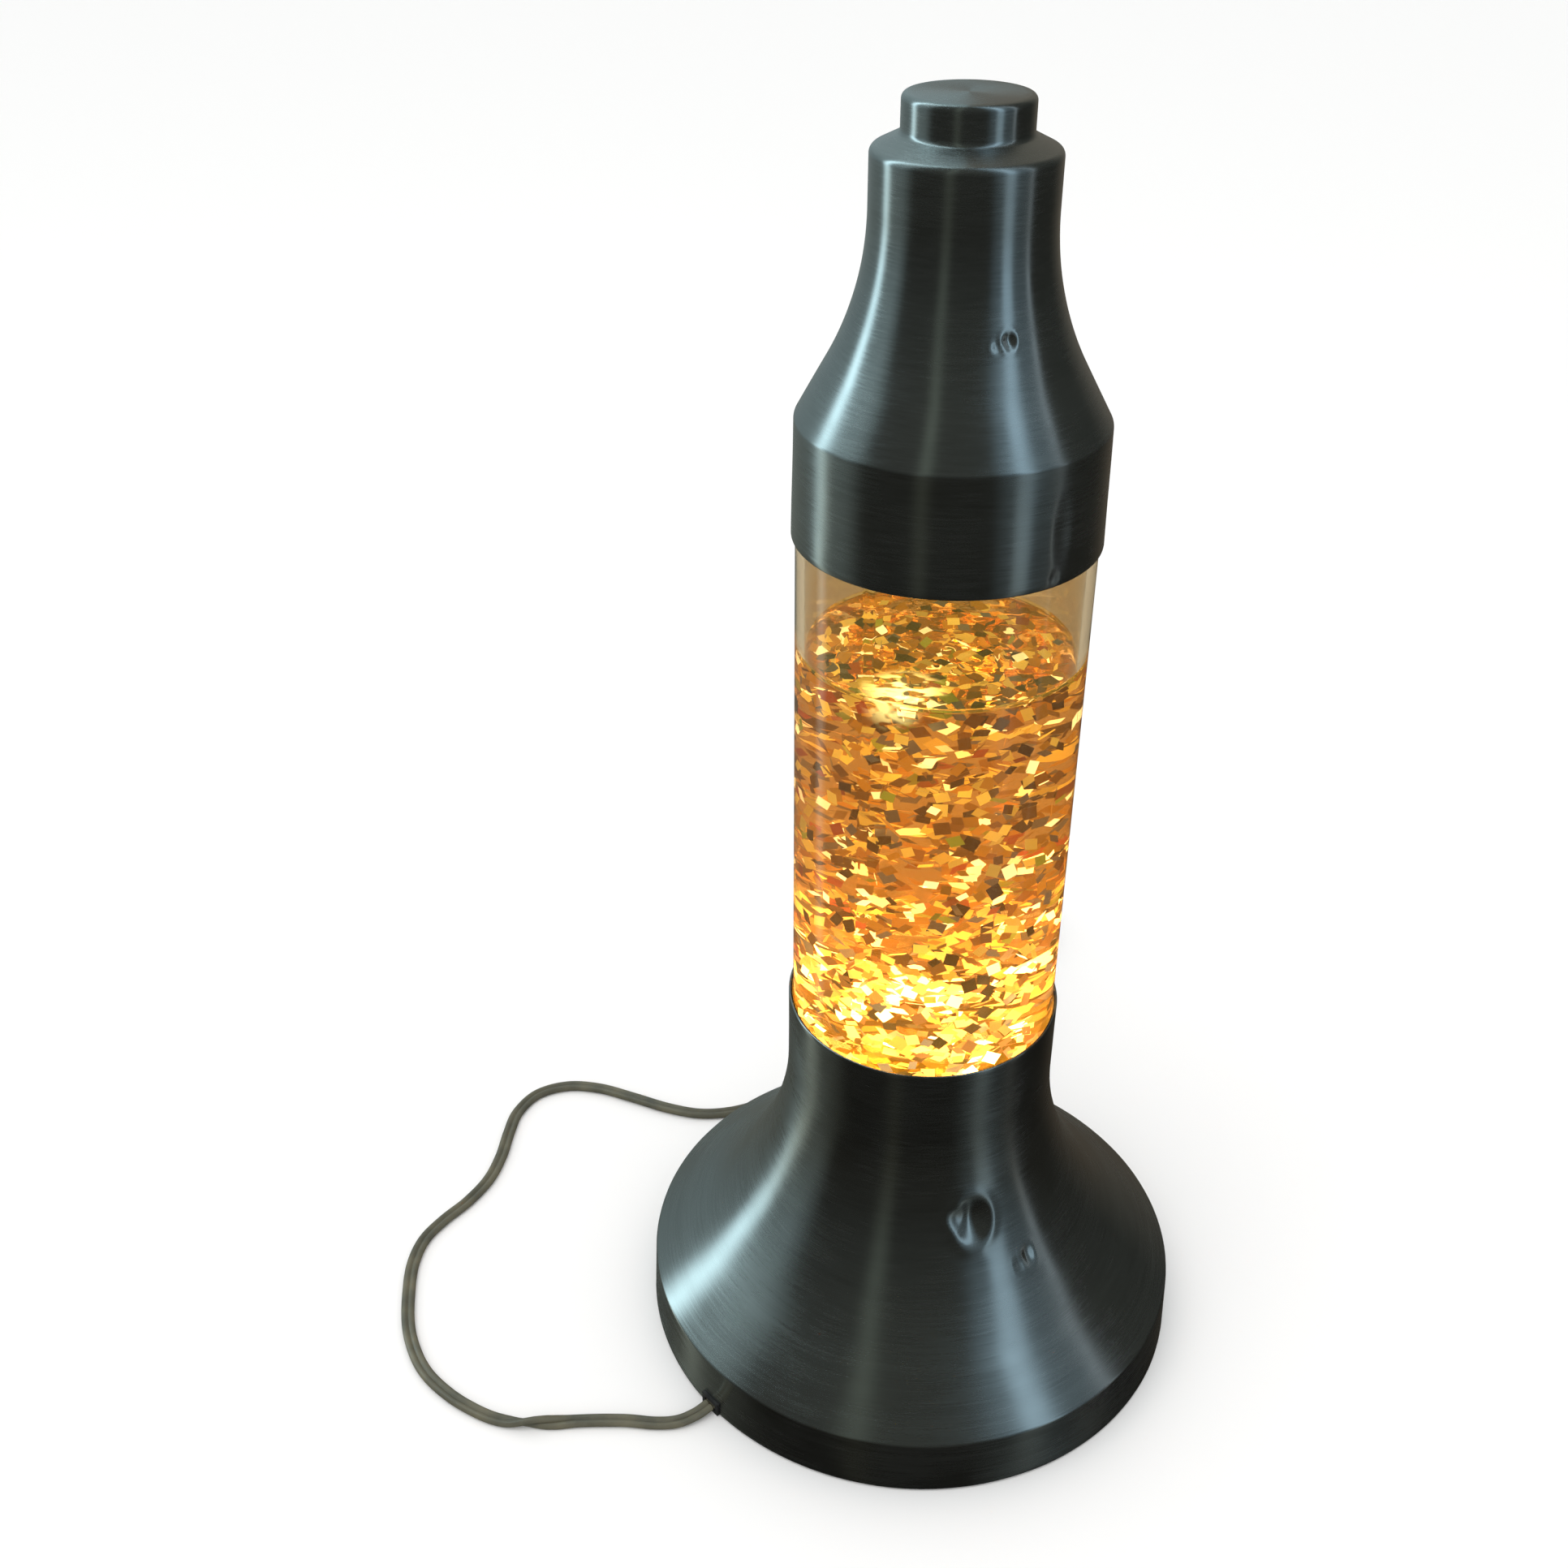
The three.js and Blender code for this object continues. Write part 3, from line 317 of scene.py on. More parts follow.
def flex_section():
    """The outline of two cores side by side, with a groove between them."""
    radius = CORD_THICKNESS / 2
    apart = CORD_WIDTH / 2 - radius
    waist = math.acos(apart / radius)
    steps = 9
    right = [waist - math.pi + (math.tau - 2 * waist) * k / steps for k in range(steps + 1)]
    arc = [Vector((apart + radius * math.cos(a), radius * math.sin(a))) for a in right]
    return arc + [-p for p in arc]


def swept(name, path, rolls, section):
    """Sweeps a section along a line, rolled about the line by an angle at each point."""
    bm = bmesh.new()
    ring = None
    for i, (point, roll) in enumerate(zip(path, rolls)):
        ahead = (path[min(i + 1, len(path) - 1)] - path[max(i - 1, 0)]).normalized()
        side = ahead.cross(Vector((0, 0, 1))).normalized()
        up = side.cross(ahead)
        side, up = (
            side * math.cos(roll) + up * math.sin(roll),
            up * math.cos(roll) - side * math.sin(roll),
        )
        verts = [bm.verts.new(point + side * p.x + up * p.y) for p in section]
        edges = [bm.edges.new(pair) for pair in zip(verts, verts[1:] + verts[:1])]
        if ring:
            bmesh.ops.bridge_loops(bm, edges=ring + edges)
        else:
            bm.faces.new(verts)
        ring = edges
    bm.faces.new(verts)
    bmesh.ops.recalc_face_normals(bm, faces=bm.faces)
    return object_of(bm, name, 50)


def make_flex():
    to_coil, to_plug = TO_COIL[-1], TO_PLUG[0]
    flat_way = through([*TO_SWITCH, *TO_COIL])
    coil_way = through([to_coil, *coil_route(), to_plug])
    plug_way = through(TO_PLUG)
    path, rolls = [], []
    for p in flat_way:
        edge_on = smooth_step((p.y - TURN_UP_START) / TURN_UP_LENGTH) if p.x > TO_COIL[0][0] else 0
        path.append(p)
        rolls.append(max(flex_roll(p), edge_on * math.pi / 2))
    for p in coil_way[1:]:
        path.append(p)
        rolls.append(math.pi / 2)
    for p in plug_way[1:]:
        path.append(p)
        rolls.append(math.pi / 2 * (1 - smooth_step((p.y - to_plug[1]) / LAY_DOWN_LENGTH)))
    for p, roll in zip(path, rolls):
        half = math.hypot(CORD_WIDTH / 2 * math.sin(roll), CORD_THICKNESS / 2 * math.cos(roll)) / MM
        p.z = max(p.z, half + FLOOR_GAP)
    path = [p * MM for p in path]
    return swept("flex", path, rolls, flex_section()), path


def flex_sleeve():
    """PVC flex, extruded: an even satin skin, aged to olive grey, with handling marks along it."""
    made, tree, place = start_material("aged olive PVC flex")
    tone = tinted(tree, blotches(tree, place, 9 * MM, 0, 1), "#4f4f42", "#6b6753")
    gloss = blotches(tree, place, 5 * MM, 0.34, 0.52)
    fine = node(tree, "TexNoise", {"Vector": place, "Scale": 1 / (1.1 * MM), "Detail": 2})
    bump = node(tree, "Bump", {"Height": fine.outputs["Fac"], "Distance": 0.03 * MM, "Strength": 0.7})
    finish_material(tree, {
        "Base Color": tone, "Roughness": gloss, "IOR": 1.53, "Normal": bump.outputs["Normal"],
    })
    return made


flex, flex_path = make_flex()
place(flex, "base", "flex_sleeve", flex_sleeve(),
      "cord_to_switch", "cord_to_coil", "cord_coil", "cord_to_plug")


# ---------------------------------------------------------------- spun aluminium
def spun_finish(name, dark, light, roughness):
    """Aluminium, spun on a lathe and brushed as it turned: grooves run round it, so highlights run up it."""
    made, tree, place_out = start_material(name)
    apart = node(tree, "SeparateXYZ", {"Vector": place_out})
    level = node(tree, "CombineXYZ", {"X": apart.outputs["X"], "Y": apart.outputs["Y"]})
    radius = node(tree, "VectorMath", {0: level.outputs["Vector"]}, operation="LENGTH")
    backwards = node(tree, "Math", {0: apart.outputs["Y"], 1: -1}, operation="MULTIPLY")
    angle = node(tree, "Math", {0: apart.outputs["X"], 1: backwards.outputs["Value"]}, operation="ARCTAN2")
    turns = node(tree, "Math", {0: angle.outputs["Value"], 1: 0.002}, operation="MULTIPLY")
    along = node(tree, "CombineXYZ", {
        "X": radius.outputs["Value"], "Y": turns.outputs["Value"], "Z": apart.outputs["Z"],
    }).outputs["Vector"]
    # Brush marks are about 0.1 mm apart; drawn at 0.5 mm so that they show.
    fine = node(tree, "TexNoise", {"Vector": along, "Scale": 1 / (0.5 * MM), "Detail": 2, "Roughness": 0.5})
    broad = node(tree, "TexNoise", {"Vector": along, "Scale": 1 / (7 * MM), "Detail": 3})
    tone_share = node(tree, "Mix", {0: 0.45, 2: fine.outputs["Fac"], 3: broad.outputs["Fac"]})
    spread = node(tree, "MapRange", {"Value": tone_share.outputs[0], "From Min": 0.25, "From Max": 0.75})
    tone = tinted(tree, spread.outputs["Result"], dark, light)
    smears = blotches(tree, place_out, 30 * MM, -0.04, 0.05, detail=4)
    gloss = node(tree, "MapRange", {
        "Value": fine.outputs["Fac"], "From Min": 0.3, "From Max": 0.7,
        "To Min": roughness - 0.025, "To Max": roughness + 0.03,
    })
    worn = node(tree, "Math", {0: gloss.outputs["Result"], 1: smears}, operation="ADD")
    bump = node(tree, "Bump", {"Height": fine.outputs["Fac"], "Distance": 0.006 * MM, "Strength": 0.2})
    round_way = node(tree, "Tangent", direction_type="RADIAL", axis="Z")
    finish_material(tree, {
        "Base Color": tone, "Metallic": 1, "Roughness": worn.outputs["Value"], "Anisotropic": 0.8,
        "Anisotropic Rotation": 0.25, "Tangent": round_way.outputs["Tangent"],
        "Normal": bump.outputs["Normal"],
    })
    return made


def dented(bm, dents):
    """Pushes the wall in at each dent: (degrees from the front, level, radius, depth, stretch)."""
    for azimuth, level, reach, depth, stretch in dents:
        angle = math.radians(azimuth)
        for vert in bm.verts:
            if abs(vert.co.z - level) > 3 * reach * stretch:
                continue
            radius = vert.co.xy.length
            round_gap = (math.atan2(vert.co.x, -vert.co.y) - angle) * radius
            far = math.hypot(round_gap / reach, (vert.co.z - level) / (reach * stretch))
            if far < 3:
                push = depth * math.exp(-far * far) - 0.22 * depth * math.exp(-((far - 1.5) ** 2) * 5)
                vert.co.xy *= 1 - push / max(radius, MM)


def handled(bm, depth):
    """The slight unevenness of thin metal that has been handled for years."""
    for vert in bm.verts:
        radius = vert.co.xy.length
        if radius > 5 * MM:
            vert.co.xy *= 1 + depth * noise.noise(vert.co / (22 * MM)) / radius


def base_outline():
    top = RIM_RADIUS - RIM_DRAFT
    rise = (top - NECK_RADIUS) / math.tan(FLARE_ANGLE)
    return divided(rounded([
        (RIM_RADIUS - 0.5 * MM, RIM_BOTTOM),
        (RIM_RADIUS, RIM_BOTTOM, 0.4 * MM, 3),
        (top, RIM_HEIGHT, 1.6 * MM, 8),
        (NECK_RADIUS, RIM_HEIGHT + rise, FLARE_RADIUS, 60),
        (NECK_RADIUS, COLLAR_TOP, 0.4 * MM, 3),
        (NECK_RADIUS - 0.5 * MM, COLLAR_TOP),
    ]))


def make_base():
    bm = spun_bmesh(base_outline(), 360)
    dented(bm, [
        (24, 80 * MM, 5.0 * MM, 2.4 * MM, 1.2),
        (17, 82 * MM, 2.4 * MM, 0.8 * MM, 1.4),
        (43, 62 * MM, 2.2 * MM, 0.8 * MM, 1.2),
        (39, 61 * MM, 1.6 * MM, 0.4 * MM, 1.2),
    ])
    handled(bm, 0.12 * MM)
    bmesh.ops.solidify(bm, geom=bm.faces[:], thickness=BASE_SHEET)
    return object_of(bm, "trumpet_base", 35)


def cap_outline():
    """The cap from its lower edge to the middle of its knob."""
    band = GLASS_RADIUS + GLASS_FIT + CAP_SHEET
    ridge = CAP_BOTTOM + 36 * MM
    neck, knob = 25.9 * MM, 17.8 * MM
    shoulder = CAP_BOTTOM + 110 * MM
    return divided(rounded([
        (band - 0.4 * MM, CAP_BOTTOM),
        (band, CAP_BOTTOM, 0.35 * MM, 3),
        (band - 0.6 * MM, ridge, 2.2 * MM, 6),
        (neck, ridge + 36 * MM, 88 * MM, 48),
        (neck, shoulder, 2.4 * MM, 8),
        (knob, shoulder + 4 * MM, 1.8 * MM, 8),
        (knob, CAP_TOP, 1.8 * MM, 8),
        (0, CAP_TOP),
    ]))


def make_cap():
    bm = spun_bmesh(cap_outline(), 300)
    dented(bm, [
        (27, 381 * MM, 1.7 * MM, 0.9 * MM, 1.0),
        (21, 380 * MM, 1.5 * MM, 0.45 * MM, 0.8),
        (44, 330 * MM, 3.0 * MM, 0.2 * MM, 3.0),
        (41, 317 * MM, 1.6 * MM, 0.25 * MM, 1.0),
    ])
    handled(bm, 0.1 * MM)
    bmesh.ops.solidify(bm, geom=bm.faces[:], thickness=CAP_SHEET)
    return object_of(bm, "spun_cap", 35)


base_metal = spun_finish("spun aluminium, base", "#828684", "#939896", 0.25)
cap_metal = spun_finish("spun aluminium, cap", "#858b8a", "#979d9c", 0.25)
place(make_base(), "base", "spun_aluminium", base_metal, "base_shell")
place(make_cap(), "cap", "spun_aluminium", cap_metal, "cap_shell")


# ---------------------------------------------------------------- bottle and liquid
def bottle_outline():
    wall, shoulder, mouth = GLASS_WALL, BOTTLE_BOTTOM + 200 * MM, 18 * MM
    outside = rounded([
        (0, BOTTLE_BOTTOM),
        (GLASS_RADIUS, BOTTLE_BOTTOM, 4 * MM, 8),
        (GLASS_RADIUS, shoulder, 9 * MM, 8),
        (mouth, shoulder + 12 * MM, 5 * MM, 6),
        (mouth, glass_high.z, 1 * MM, 4),
        (mouth - wall, glass_high.z),
    ])
    inside = rounded([
        (mouth - wall, glass_high.z),
        (mouth - wall, shoulder + 10.5 * MM, 6 * MM, 6),
        (GLASS_RADIUS - wall, shoulder - 1 * MM, 7 * MM, 8),
        (GLASS_RADIUS - wall, BOTTLE_BOTTOM + wall, 2 * MM, 6),
        (0, BOTTLE_BOTTOM + wall),
    ])
    return [*outside, *inside[1:]]


def bottle_glass():
    """Borosilicate tube, flame-worked: smooth, clear and slightly smoky."""
    made, tree, place_out = start_material("clear borosilicate glass")
    waves = node(tree, "TexNoise", {"Vector": place_out, "Scale": 1 / (40 * MM), "Detail": 1})
    bump = node(tree, "Bump", {"Height": waves.outputs["Fac"], "Distance": 0.4 * MM, "Strength": 0.25})
    finish_material(tree, {
        "Base Color": colour("#c8b38e"), "Roughness": 0.01, "IOR": 1.47, "Transmission Weight": 1,
        "Normal": bump.outputs["Normal"],
    })
    return made


def amber_liquid_with_painted_glow():
    """Amber glitter liquid, clear, with the bulb's light from below painted in as a glow, brightest just
    above the bulb.
    """
    made, tree, place_out = start_material("amber glitter liquid")
    apart = node(tree, "SeparateXYZ", {"Vector": place_out})
    # Painted glow: the surface's emission runs from deep amber at the top to bright yellow low down,
    # standing for the bulb's light.
    low = node(tree, "MapRange", {
        "Value": apart.outputs["Z"], "From Min": COLLAR_TOP - 10 * MM, "From Max": LIQUID_TOP,
        "To Min": 1, "To Max": 0,
    })
    painted_glow_ramp = node(tree, "ValToRGB", {"Fac": low.outputs["Result"]})
    painted_glow_ramp.color_ramp.elements[0].color = colour("#8a4d08")
    painted_glow_ramp.color_ramp.elements[1].color = colour("#ffd23c")
    middle = painted_glow_ramp.color_ramp.elements.new(0.55)
    middle.color = colour("#c87d10")
    # Painted highlight: the wetted lip against the glass is painted as a thin glowing orange line.
    painted_meniscus_line = node(tree, "MapRange", {
        "Value": apart.outputs["Z"], "From Min": LIQUID_TOP + 0.15 * MM, "From Max": LIQUID_TOP + 0.7 * MM,
    })
    glow = node(tree, "MixRGB", {
        "Fac": painted_meniscus_line.outputs["Result"], "Color1": painted_glow_ramp.outputs["Color"], "Color2": (4, 1.5, 0.15, 1),
    })
    surface = node(tree, "MapRange", {
        "Value": apart.outputs["Z"], "From Min": LIQUID_TOP - 0.4 * MM, "From Max": LIQUID_TOP - 0.1 * MM,
    })
    # Painted highlight: the bulb's glare is painted into the surface at the front as a bright patch of
    # emission, broken up by noise.
    painted_glare_place = (-10 * MM, -30 * MM, LIQUID_TOP)
    away = node(tree, "VectorMath", {0: place_out, 1: painted_glare_place}, operation="DISTANCE")
    painted_glare = node(tree, "MapRange", {
        "Value": away.outputs["Value"], "From Min": 4 * MM, "From Max": 14 * MM, "To Min": 1, "To Max": 0,
    }, interpolation_type="SMOOTHSTEP")
    longer = node(tree, "VectorMath", {0: place_out, 1: (0.5, 1, 1)}, operation="MULTIPLY")
    broken = node(tree, "TexNoise", {
        "Vector": longer.outputs["Vector"], "Scale": 1 / (3.2 * MM), "Detail": 1,
    })
    painted_glare_breakup = node(tree, "MapRange", {
        "Value": broken.outputs["Fac"], "From Min": 0.44, "From Max": 0.54, "To Min": 0.03,
    })
    spot = node(tree, "Math", {
        0: painted_glare.outputs["Result"], 1: painted_glare_breakup.outputs["Result"],
    }, operation="MULTIPLY")
    # Painted glow: the top surface is given a faint yellow emission of its own.
    painted_surface_glow = node(tree, "MixRGB", {
        "Fac": surface.outputs["Result"], "Color1": glow.outputs["Color"], "Color2": (0.5, 0.5, 0.06, 1),
    })
    # Painted highlight: the glare patch is mixed in as a bright white-yellow emission.
    glow = node(tree, "MixRGB", {
        "Fac": spot.outputs["Value"], "Color1": painted_surface_glow.outputs["Color"], "Color2": (30, 27, 11, 1),
    })
    ripple = node(tree, "TexNoise", {"Vector": place_out, "Scale": 1 / (14 * MM), "Detail": 1.5})
    height = node(tree, "Math", {
        0: ripple.outputs["Fac"], 1: surface.outputs["Result"],
    }, operation="MULTIPLY")
    bump = node(tree, "Bump", {"Height": height.outputs["Value"], "Distance": 4 * MM, "Strength": 0.8})
    finish_material(tree, {
        "Base Color": colour("#fdf2dc"), "Roughness": 0.02, "IOR": 1.36, "Transmission Weight": 1,
        "Emission Color": glow.outputs["Color"], "Emission Strength": 0.2, "Normal": bump.outputs["Normal"],
    })
    # The amber itself takes blue out of what is seen through it; the bulb's glow that it carries is painted
    # in as an emission through its body.
    amber = node(tree, "VolumeAbsorption", {"Color": (1, 0.76, 0.3, 1), "Density": 16})
    painted_volume_glow = node(tree, "Emission", {"Color": (0.9, 0.43, 0.06, 1), "Strength": 3.6})
    both = node(tree, "AddShader", {0: amber.outputs["Volume"], 1: painted_volume_glow.outputs["Emission"]})
    output = next(n for n in tree.nodes if n.type == "OUTPUT_MATERIAL")
    tree.links.new(both.outputs["Shader"], output.inputs["Volume"])
    return made


INTO_GLASS = 0.05 * MM  # the liquid wets the glass, so its surface is drawn just inside the wall


def liquid_outline():
    radius = GLASS_RADIUS - GLASS_WALL + INTO_GLASS
    bottom = BOTTLE_BOTTOM + GLASS_WALL - INTO_GLASS
    return rounded([
        (0, bottom),
        (radius, bottom, 2 * MM, 6),
        (radius, LIQUID_TOP + 1.2 * MM),
        (radius - 0.3 * MM, LIQUID_TOP + 0.9 * MM),
        (radius - 0.9 * MM, LIQUID_TOP + 0.3 * MM),
        (radius - 2.2 * MM, LIQUID_TOP),
        (0, LIQUID_TOP),
    ])


SEAM_AZIMUTH = -27  # degrees from the front, to the right
SEAM_HEIGHT = 0.12 * MM
BOTTLE_STEPS = 240


def make_bottle():
    """The tube, with the faint ridge that its seam leaves down the side."""
    bm = spun_bmesh(bottle_outline(), BOTTLE_STEPS)
    for vert in bm.verts:
        off_seam = math.degrees(math.atan2(vert.co.x, -vert.co.y)) - SEAM_AZIMUTH
        if vert.co.xy.length > GLASS_RADIUS - 0.5 * MM and abs(off_seam) < 180 / BOTTLE_STEPS:
            vert.co.xy *= 1 + SEAM_HEIGHT / GLASS_RADIUS
    return object_of(bm, "bottle", 40)


place(make_bottle(), "vessel", "clear_glass", bottle_glass(), "glass_bottle")
liquid = object_of(spun_bmesh(liquid_outline(), BOTTLE_STEPS), "liquid", 40)
place(liquid, "vessel", "amber_liquid", amber_liquid_with_painted_glow(), "glitter_liquid")


# ---------------------------------------------------------------- glitter
FLAKE_COUNT = 2048
FLAKE_SIDE = 4.1 * MM
FLAKE_THICKNESS = 0.05 * MM
STANDING_SHARE = 0.35  # of the flakes stand on edge
FLAKE_TINTS_AND_PAINTED_GLOW = [  # colour, share, and the strength of its painted glow, which also scales its colour
    ("#ffdf70", 24, 1.05), ("#f9b233", 26, 0.55), ("#d9902e", 16, 0.26), ("#5a3410", 13, 0.04),
    ("#a8abb0", 8, 0.28), ("#c4d84a", 3, 0.5), ("#ee6a38", 3, 0.4), ("#fff4d0", 9, 2.8),
]


def flake_shapes():
    """Two thousand thin squares, each with its own turn, tint and painted glow, the glow stronger and whiter
    near the bulb.
    """
    bm = bmesh.new()
    bmesh.ops.create_cube(bm, size=1)
    while len(bm.verts) < 8 * FLAKE_COUNT:
        bmesh.ops.duplicate(bm, geom=[*bm.verts, *bm.edges, *bm.faces])
    bm.verts.ensure_lookup_table()
    tint_and_glow_layer = bm.verts.layers.float_color.new("flake_tint_and_painted_glow")
    pick = random.Random(11)
    radius_limit = GLASS_RADIUS - GLASS_WALL - 2.2 * MM
    low, high = BOTTLE_BOTTOM + GLASS_WALL + 2.2 * MM, LIQUID_TOP - 1.2 * MM
    chances = [share for _, share, _ in FLAKE_TINTS_AND_PAINTED_GLOW]
    for i in range(FLAKE_COUNT):
        angle, height = pick.uniform(0, math.tau), pick.uniform(low, high)
        radius = radius_limit * math.sqrt(pick.uniform(0.02, 1))
        side = FLAKE_SIDE * pick.choice((0.75, 0.9, 1, 1, 1.1))
        standing = pick.random() < STANDING_SHARE
        lean = 0.6 if standing else 0.4
        tilt = (
            Matrix.Rotation(pick.gauss(0, lean), 4, "X") @ Matrix.Rotation(pick.gauss(0, lean), 4, "Y")
        )
        turn = Matrix.Rotation(pick.uniform(0, math.tau), 4, "Z")
        spot = Matrix.Translation((radius * math.cos(angle), radius * math.sin(angle), height))
        lie = Matrix.Rotation(math.pi / 2 * standing, 4, "X")
        shape = Matrix.Diagonal((side, side, FLAKE_THICKNESS, 1))
        move = spot @ Matrix.Rotation(angle + math.pi / 2, 4, "Z") @ tilt @ lie @ turn @ shape
        code, _, painted_flake_glow = pick.choices(FLAKE_TINTS_AND_PAINTED_GLOW, chances)[0]
        # Painted glow: flakes lower down, nearer the bulb, are made brighter and whiter.
        painted_glow_near_bulb = 1 - smooth_step((height - low) / (high - low) * 1.15)
        painted_flake_glow *= pick.uniform(0.55, 1.3) * (0.7 + 1.9 * painted_glow_near_bulb**3)
        tint = [(c + 0.25 * painted_glow_near_bulb**3) * painted_flake_glow for c in colour(code)[:3]]
        for vert in bm.verts[8 * i : 8 * i + 8]:
            vert.co = move @ vert.co
            vert[tint_and_glow_layer] = (*tint, 1)
    return object_of(bm, "glitter")


def glitter_finish():
    """Metallised polyester film, cut in squares: each a small tinted mirror, with the bulb's light it throws
    back painted in as emission.
    """
    made, tree, _ = start_material("metallised glitter film")
    tint = node(tree, "Attribute", attribute_name="flake_tint_and_painted_glow").outputs["Color"]
    # Painted glow: emission is the tint scaled by each flake's painted glow, and the base colour is scaled
    # the same way, so flakes given little glow are also painted dark.
    finish_material(tree, {
        "Base Color": tint, "Metallic": 0.35, "Roughness": 0.3, "Emission Color": tint,
        "Emission Strength": 1.5,
    })
    return made


place(flake_shapes(), "vessel", "amber_liquid", glitter_finish())


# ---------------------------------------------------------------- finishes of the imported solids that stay
def carried(finish, *names):
    for name in names:
        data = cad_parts[name].data
        data.materials.clear()
        data.materials.append(finish)


pressed_steel = moulded("zinc-plated steel, pressed", "#8d9092", "#6f7274", 0.36, Metallic=1)
bright_zinc = moulded("bright zinc plate", "#b9bbb8", "#8f918d", 0.3, Metallic=1)
brass_finish = moulded("drawn brass", "#c2a256", "#8a6f34", 0.32, Metallic=1)
black_rubber = moulded("moulded black rubber", "#1b1b1b", "#2b2a28", 0.75, grain=0.05 * MM)
porcelain = moulded("glazed porcelain", "#efeadf", "#dcd4c4", 0.18, IOR=1.52)
dark_plastic = moulded("dark urea plastic, moulded", "#26221e", "#37322c", 0.34)
ivory_plastic = moulded("ivory plastic, moulded", "#ded6c2", "#c6bca4", 0.42)
grey_felt = moulded("pressed grey felt", "#5d5a54", "#45423d", 0.95, size=2 * MM, grain=0.25 * MM)
dark_core = moulded("black PVC core", "#232323", "#333333", 0.5)
pale_core = moulded("white PVC core", "#dad6c8", "#c2bca8", 0.5)
tungsten = moulded("tungsten coil", "#8a8680", "#6c6863", 0.4, Metallic=1)


def eased(finish, body, slot, *names, width=0.25 * MM):
    """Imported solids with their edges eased, as moulding, pressing and plating leave them."""
    for name in names:
        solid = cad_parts[name]
        bm = bmesh.new()
        bm.from_mesh(solid.data)
        bmesh.ops.transform(bm, matrix=solid.matrix_world, verts=bm.verts)
        bmesh.ops.remove_doubles(bm, verts=bm.verts, dist=0.004 * MM)
        bmesh.ops.dissolve_limit(bm, angle_limit=math.radians(0.5), verts=bm.verts, edges=bm.edges)
        edges = [e for e in bm.edges if e.is_manifold and e.calc_face_angle() > math.radians(50)]
        bmesh.ops.bevel(bm, geom=edges, offset=width, segments=3, profile=0.5, affect="EDGES",
                        clamp_overlap=True)
        bmesh.ops.triangulate(bm, faces=[f for f in bm.faces if len(f.verts) > 4])
        part = object_of(bm, name + "_finished", 42)
        place(part, body, slot, finish, name)


def spun_part(name, outline, body, slot, finish, steps=96, centre=(0, 0), ribs=(0, 0, 0)):
    """A turned part, its outline in millimetres. Ribs are how many, how deep, and beyond which radius."""
    bm = spun_bmesh([Vector(p) * MM for p in rounded(outline)], steps)
    count, depth, beyond = ribs
    for vert in bm.verts if count else ():
        if vert.co.xy.length > beyond * MM:
            angle = math.atan2(vert.co.y, vert.co.x)
            vert.co.xy *= 1 + depth * MM * math.cos(count * angle) / vert.co.xy.length
    bmesh.ops.translate(bm, verts=bm.verts, vec=(*centre, 0))
    place(object_of(bm, name + "_finished", 40), body, slot, finish, name)


def threaded(name, radius, bottom, top, body, finish, depth=0.55, pitch=2.82, wall=0.45):
    """A thin sleeve with a right-handed screw thread rolled into it; sizes in millimetres."""
    steps, rows = 72, round((top - bottom) / 0.35)
    bm = bmesh.new()
    columns = []
    for i in range(steps):
        angle = math.tau * i / steps
        column = []
        for k in range(rows + 1):
            height = bottom + (top - bottom) * k / rows
            fade = smooth_step((height - bottom) / 1.2) * smooth_step((top - height) / 1.2)
            wave = 0.5 - 0.5 * math.cos(math.tau * (height / pitch - i / steps))
            reach = radius - depth * (1 - wave * fade)
            column.append(bm.verts.new((
                reach * math.cos(angle) * MM, reach * math.sin(angle) * MM, height * MM,
            )))
        columns.append(column)
    for first, second in zip(columns, columns[1:] + columns[:1]):
        for a, b, c, d in zip(first, second, second[1:], first[1:]):
            bm.faces.new((a, b, c, d))
    bmesh.ops.recalc_face_normals(bm, faces=bm.faces)
    bmesh.ops.solidify(bm, geom=bm.faces[:], thickness=wall * MM)
    place(object_of(bm, name + "_finished", 50), body, "brass", finish, name)


def frosted_bulb():
    """Reflector lamp: silvered below its widest part, frosted above, and lit."""
    made, tree, place_out = start_material("frosted bulb glass, lit")
    apart = node(tree, "SeparateXYZ", {"Vector": place_out})
    crown = node(tree, "MapRange", {
        "Value": apart.outputs["Z"], "From Min": 88 * MM, "From Max": 94 * MM,
    }).outputs["Result"]
    glow = tinted(tree, crown, "#000000", "#ffd9a0")
    tone = tinted(tree, crown, "#b8b6b0", "#fff4e0")
    silver = node(tree, "MapRange", {"Value": crown, "To Min": 0.9, "To Max": 0}).outputs["Result"]
    grain = node(tree, "TexNoise", {"Vector": place_out, "Scale": 1 / (0.5 * MM), "Detail": 2})
    bump = node(tree, "Bump", {"Height": grain.outputs["Fac"], "Distance": 0.02 * MM, "Strength": 0.5})
    finish_material(tree, {
        "Base Color": tone, "Metallic": silver, "Roughness": 0.35, "Emission Color": glow,
        "Emission Strength": 6, "Normal": bump.outputs["Normal"],
    })
    return made


eased(pressed_steel, "base", "pressed_steel", "base_pan", "bracket_rivet_1", "bracket_rivet_2")
eased(bright_zinc, "base", "zinc_plate", "lampholder_bracket", "holder_nut", "cord_clamp", "clamp_screw_1",
      "clamp_screw_2", "switch_screw_1", "switch_screw_2")
eased(brass_finish, "base", "brass", "plug_blade_1", "plug_blade_2")
eased(black_rubber, "base", "black_rubber", "cord_grommet", "coil_tie", width=0.12 * MM)
eased(dark_plastic, "base", "dark_plastic", "switch_top", "switch_bottom", "plug_body", width=0.5 * MM)
eased(ivory_plastic, "rocker", "ivory_plastic", "switch_rocker", width=0.4 * MM)

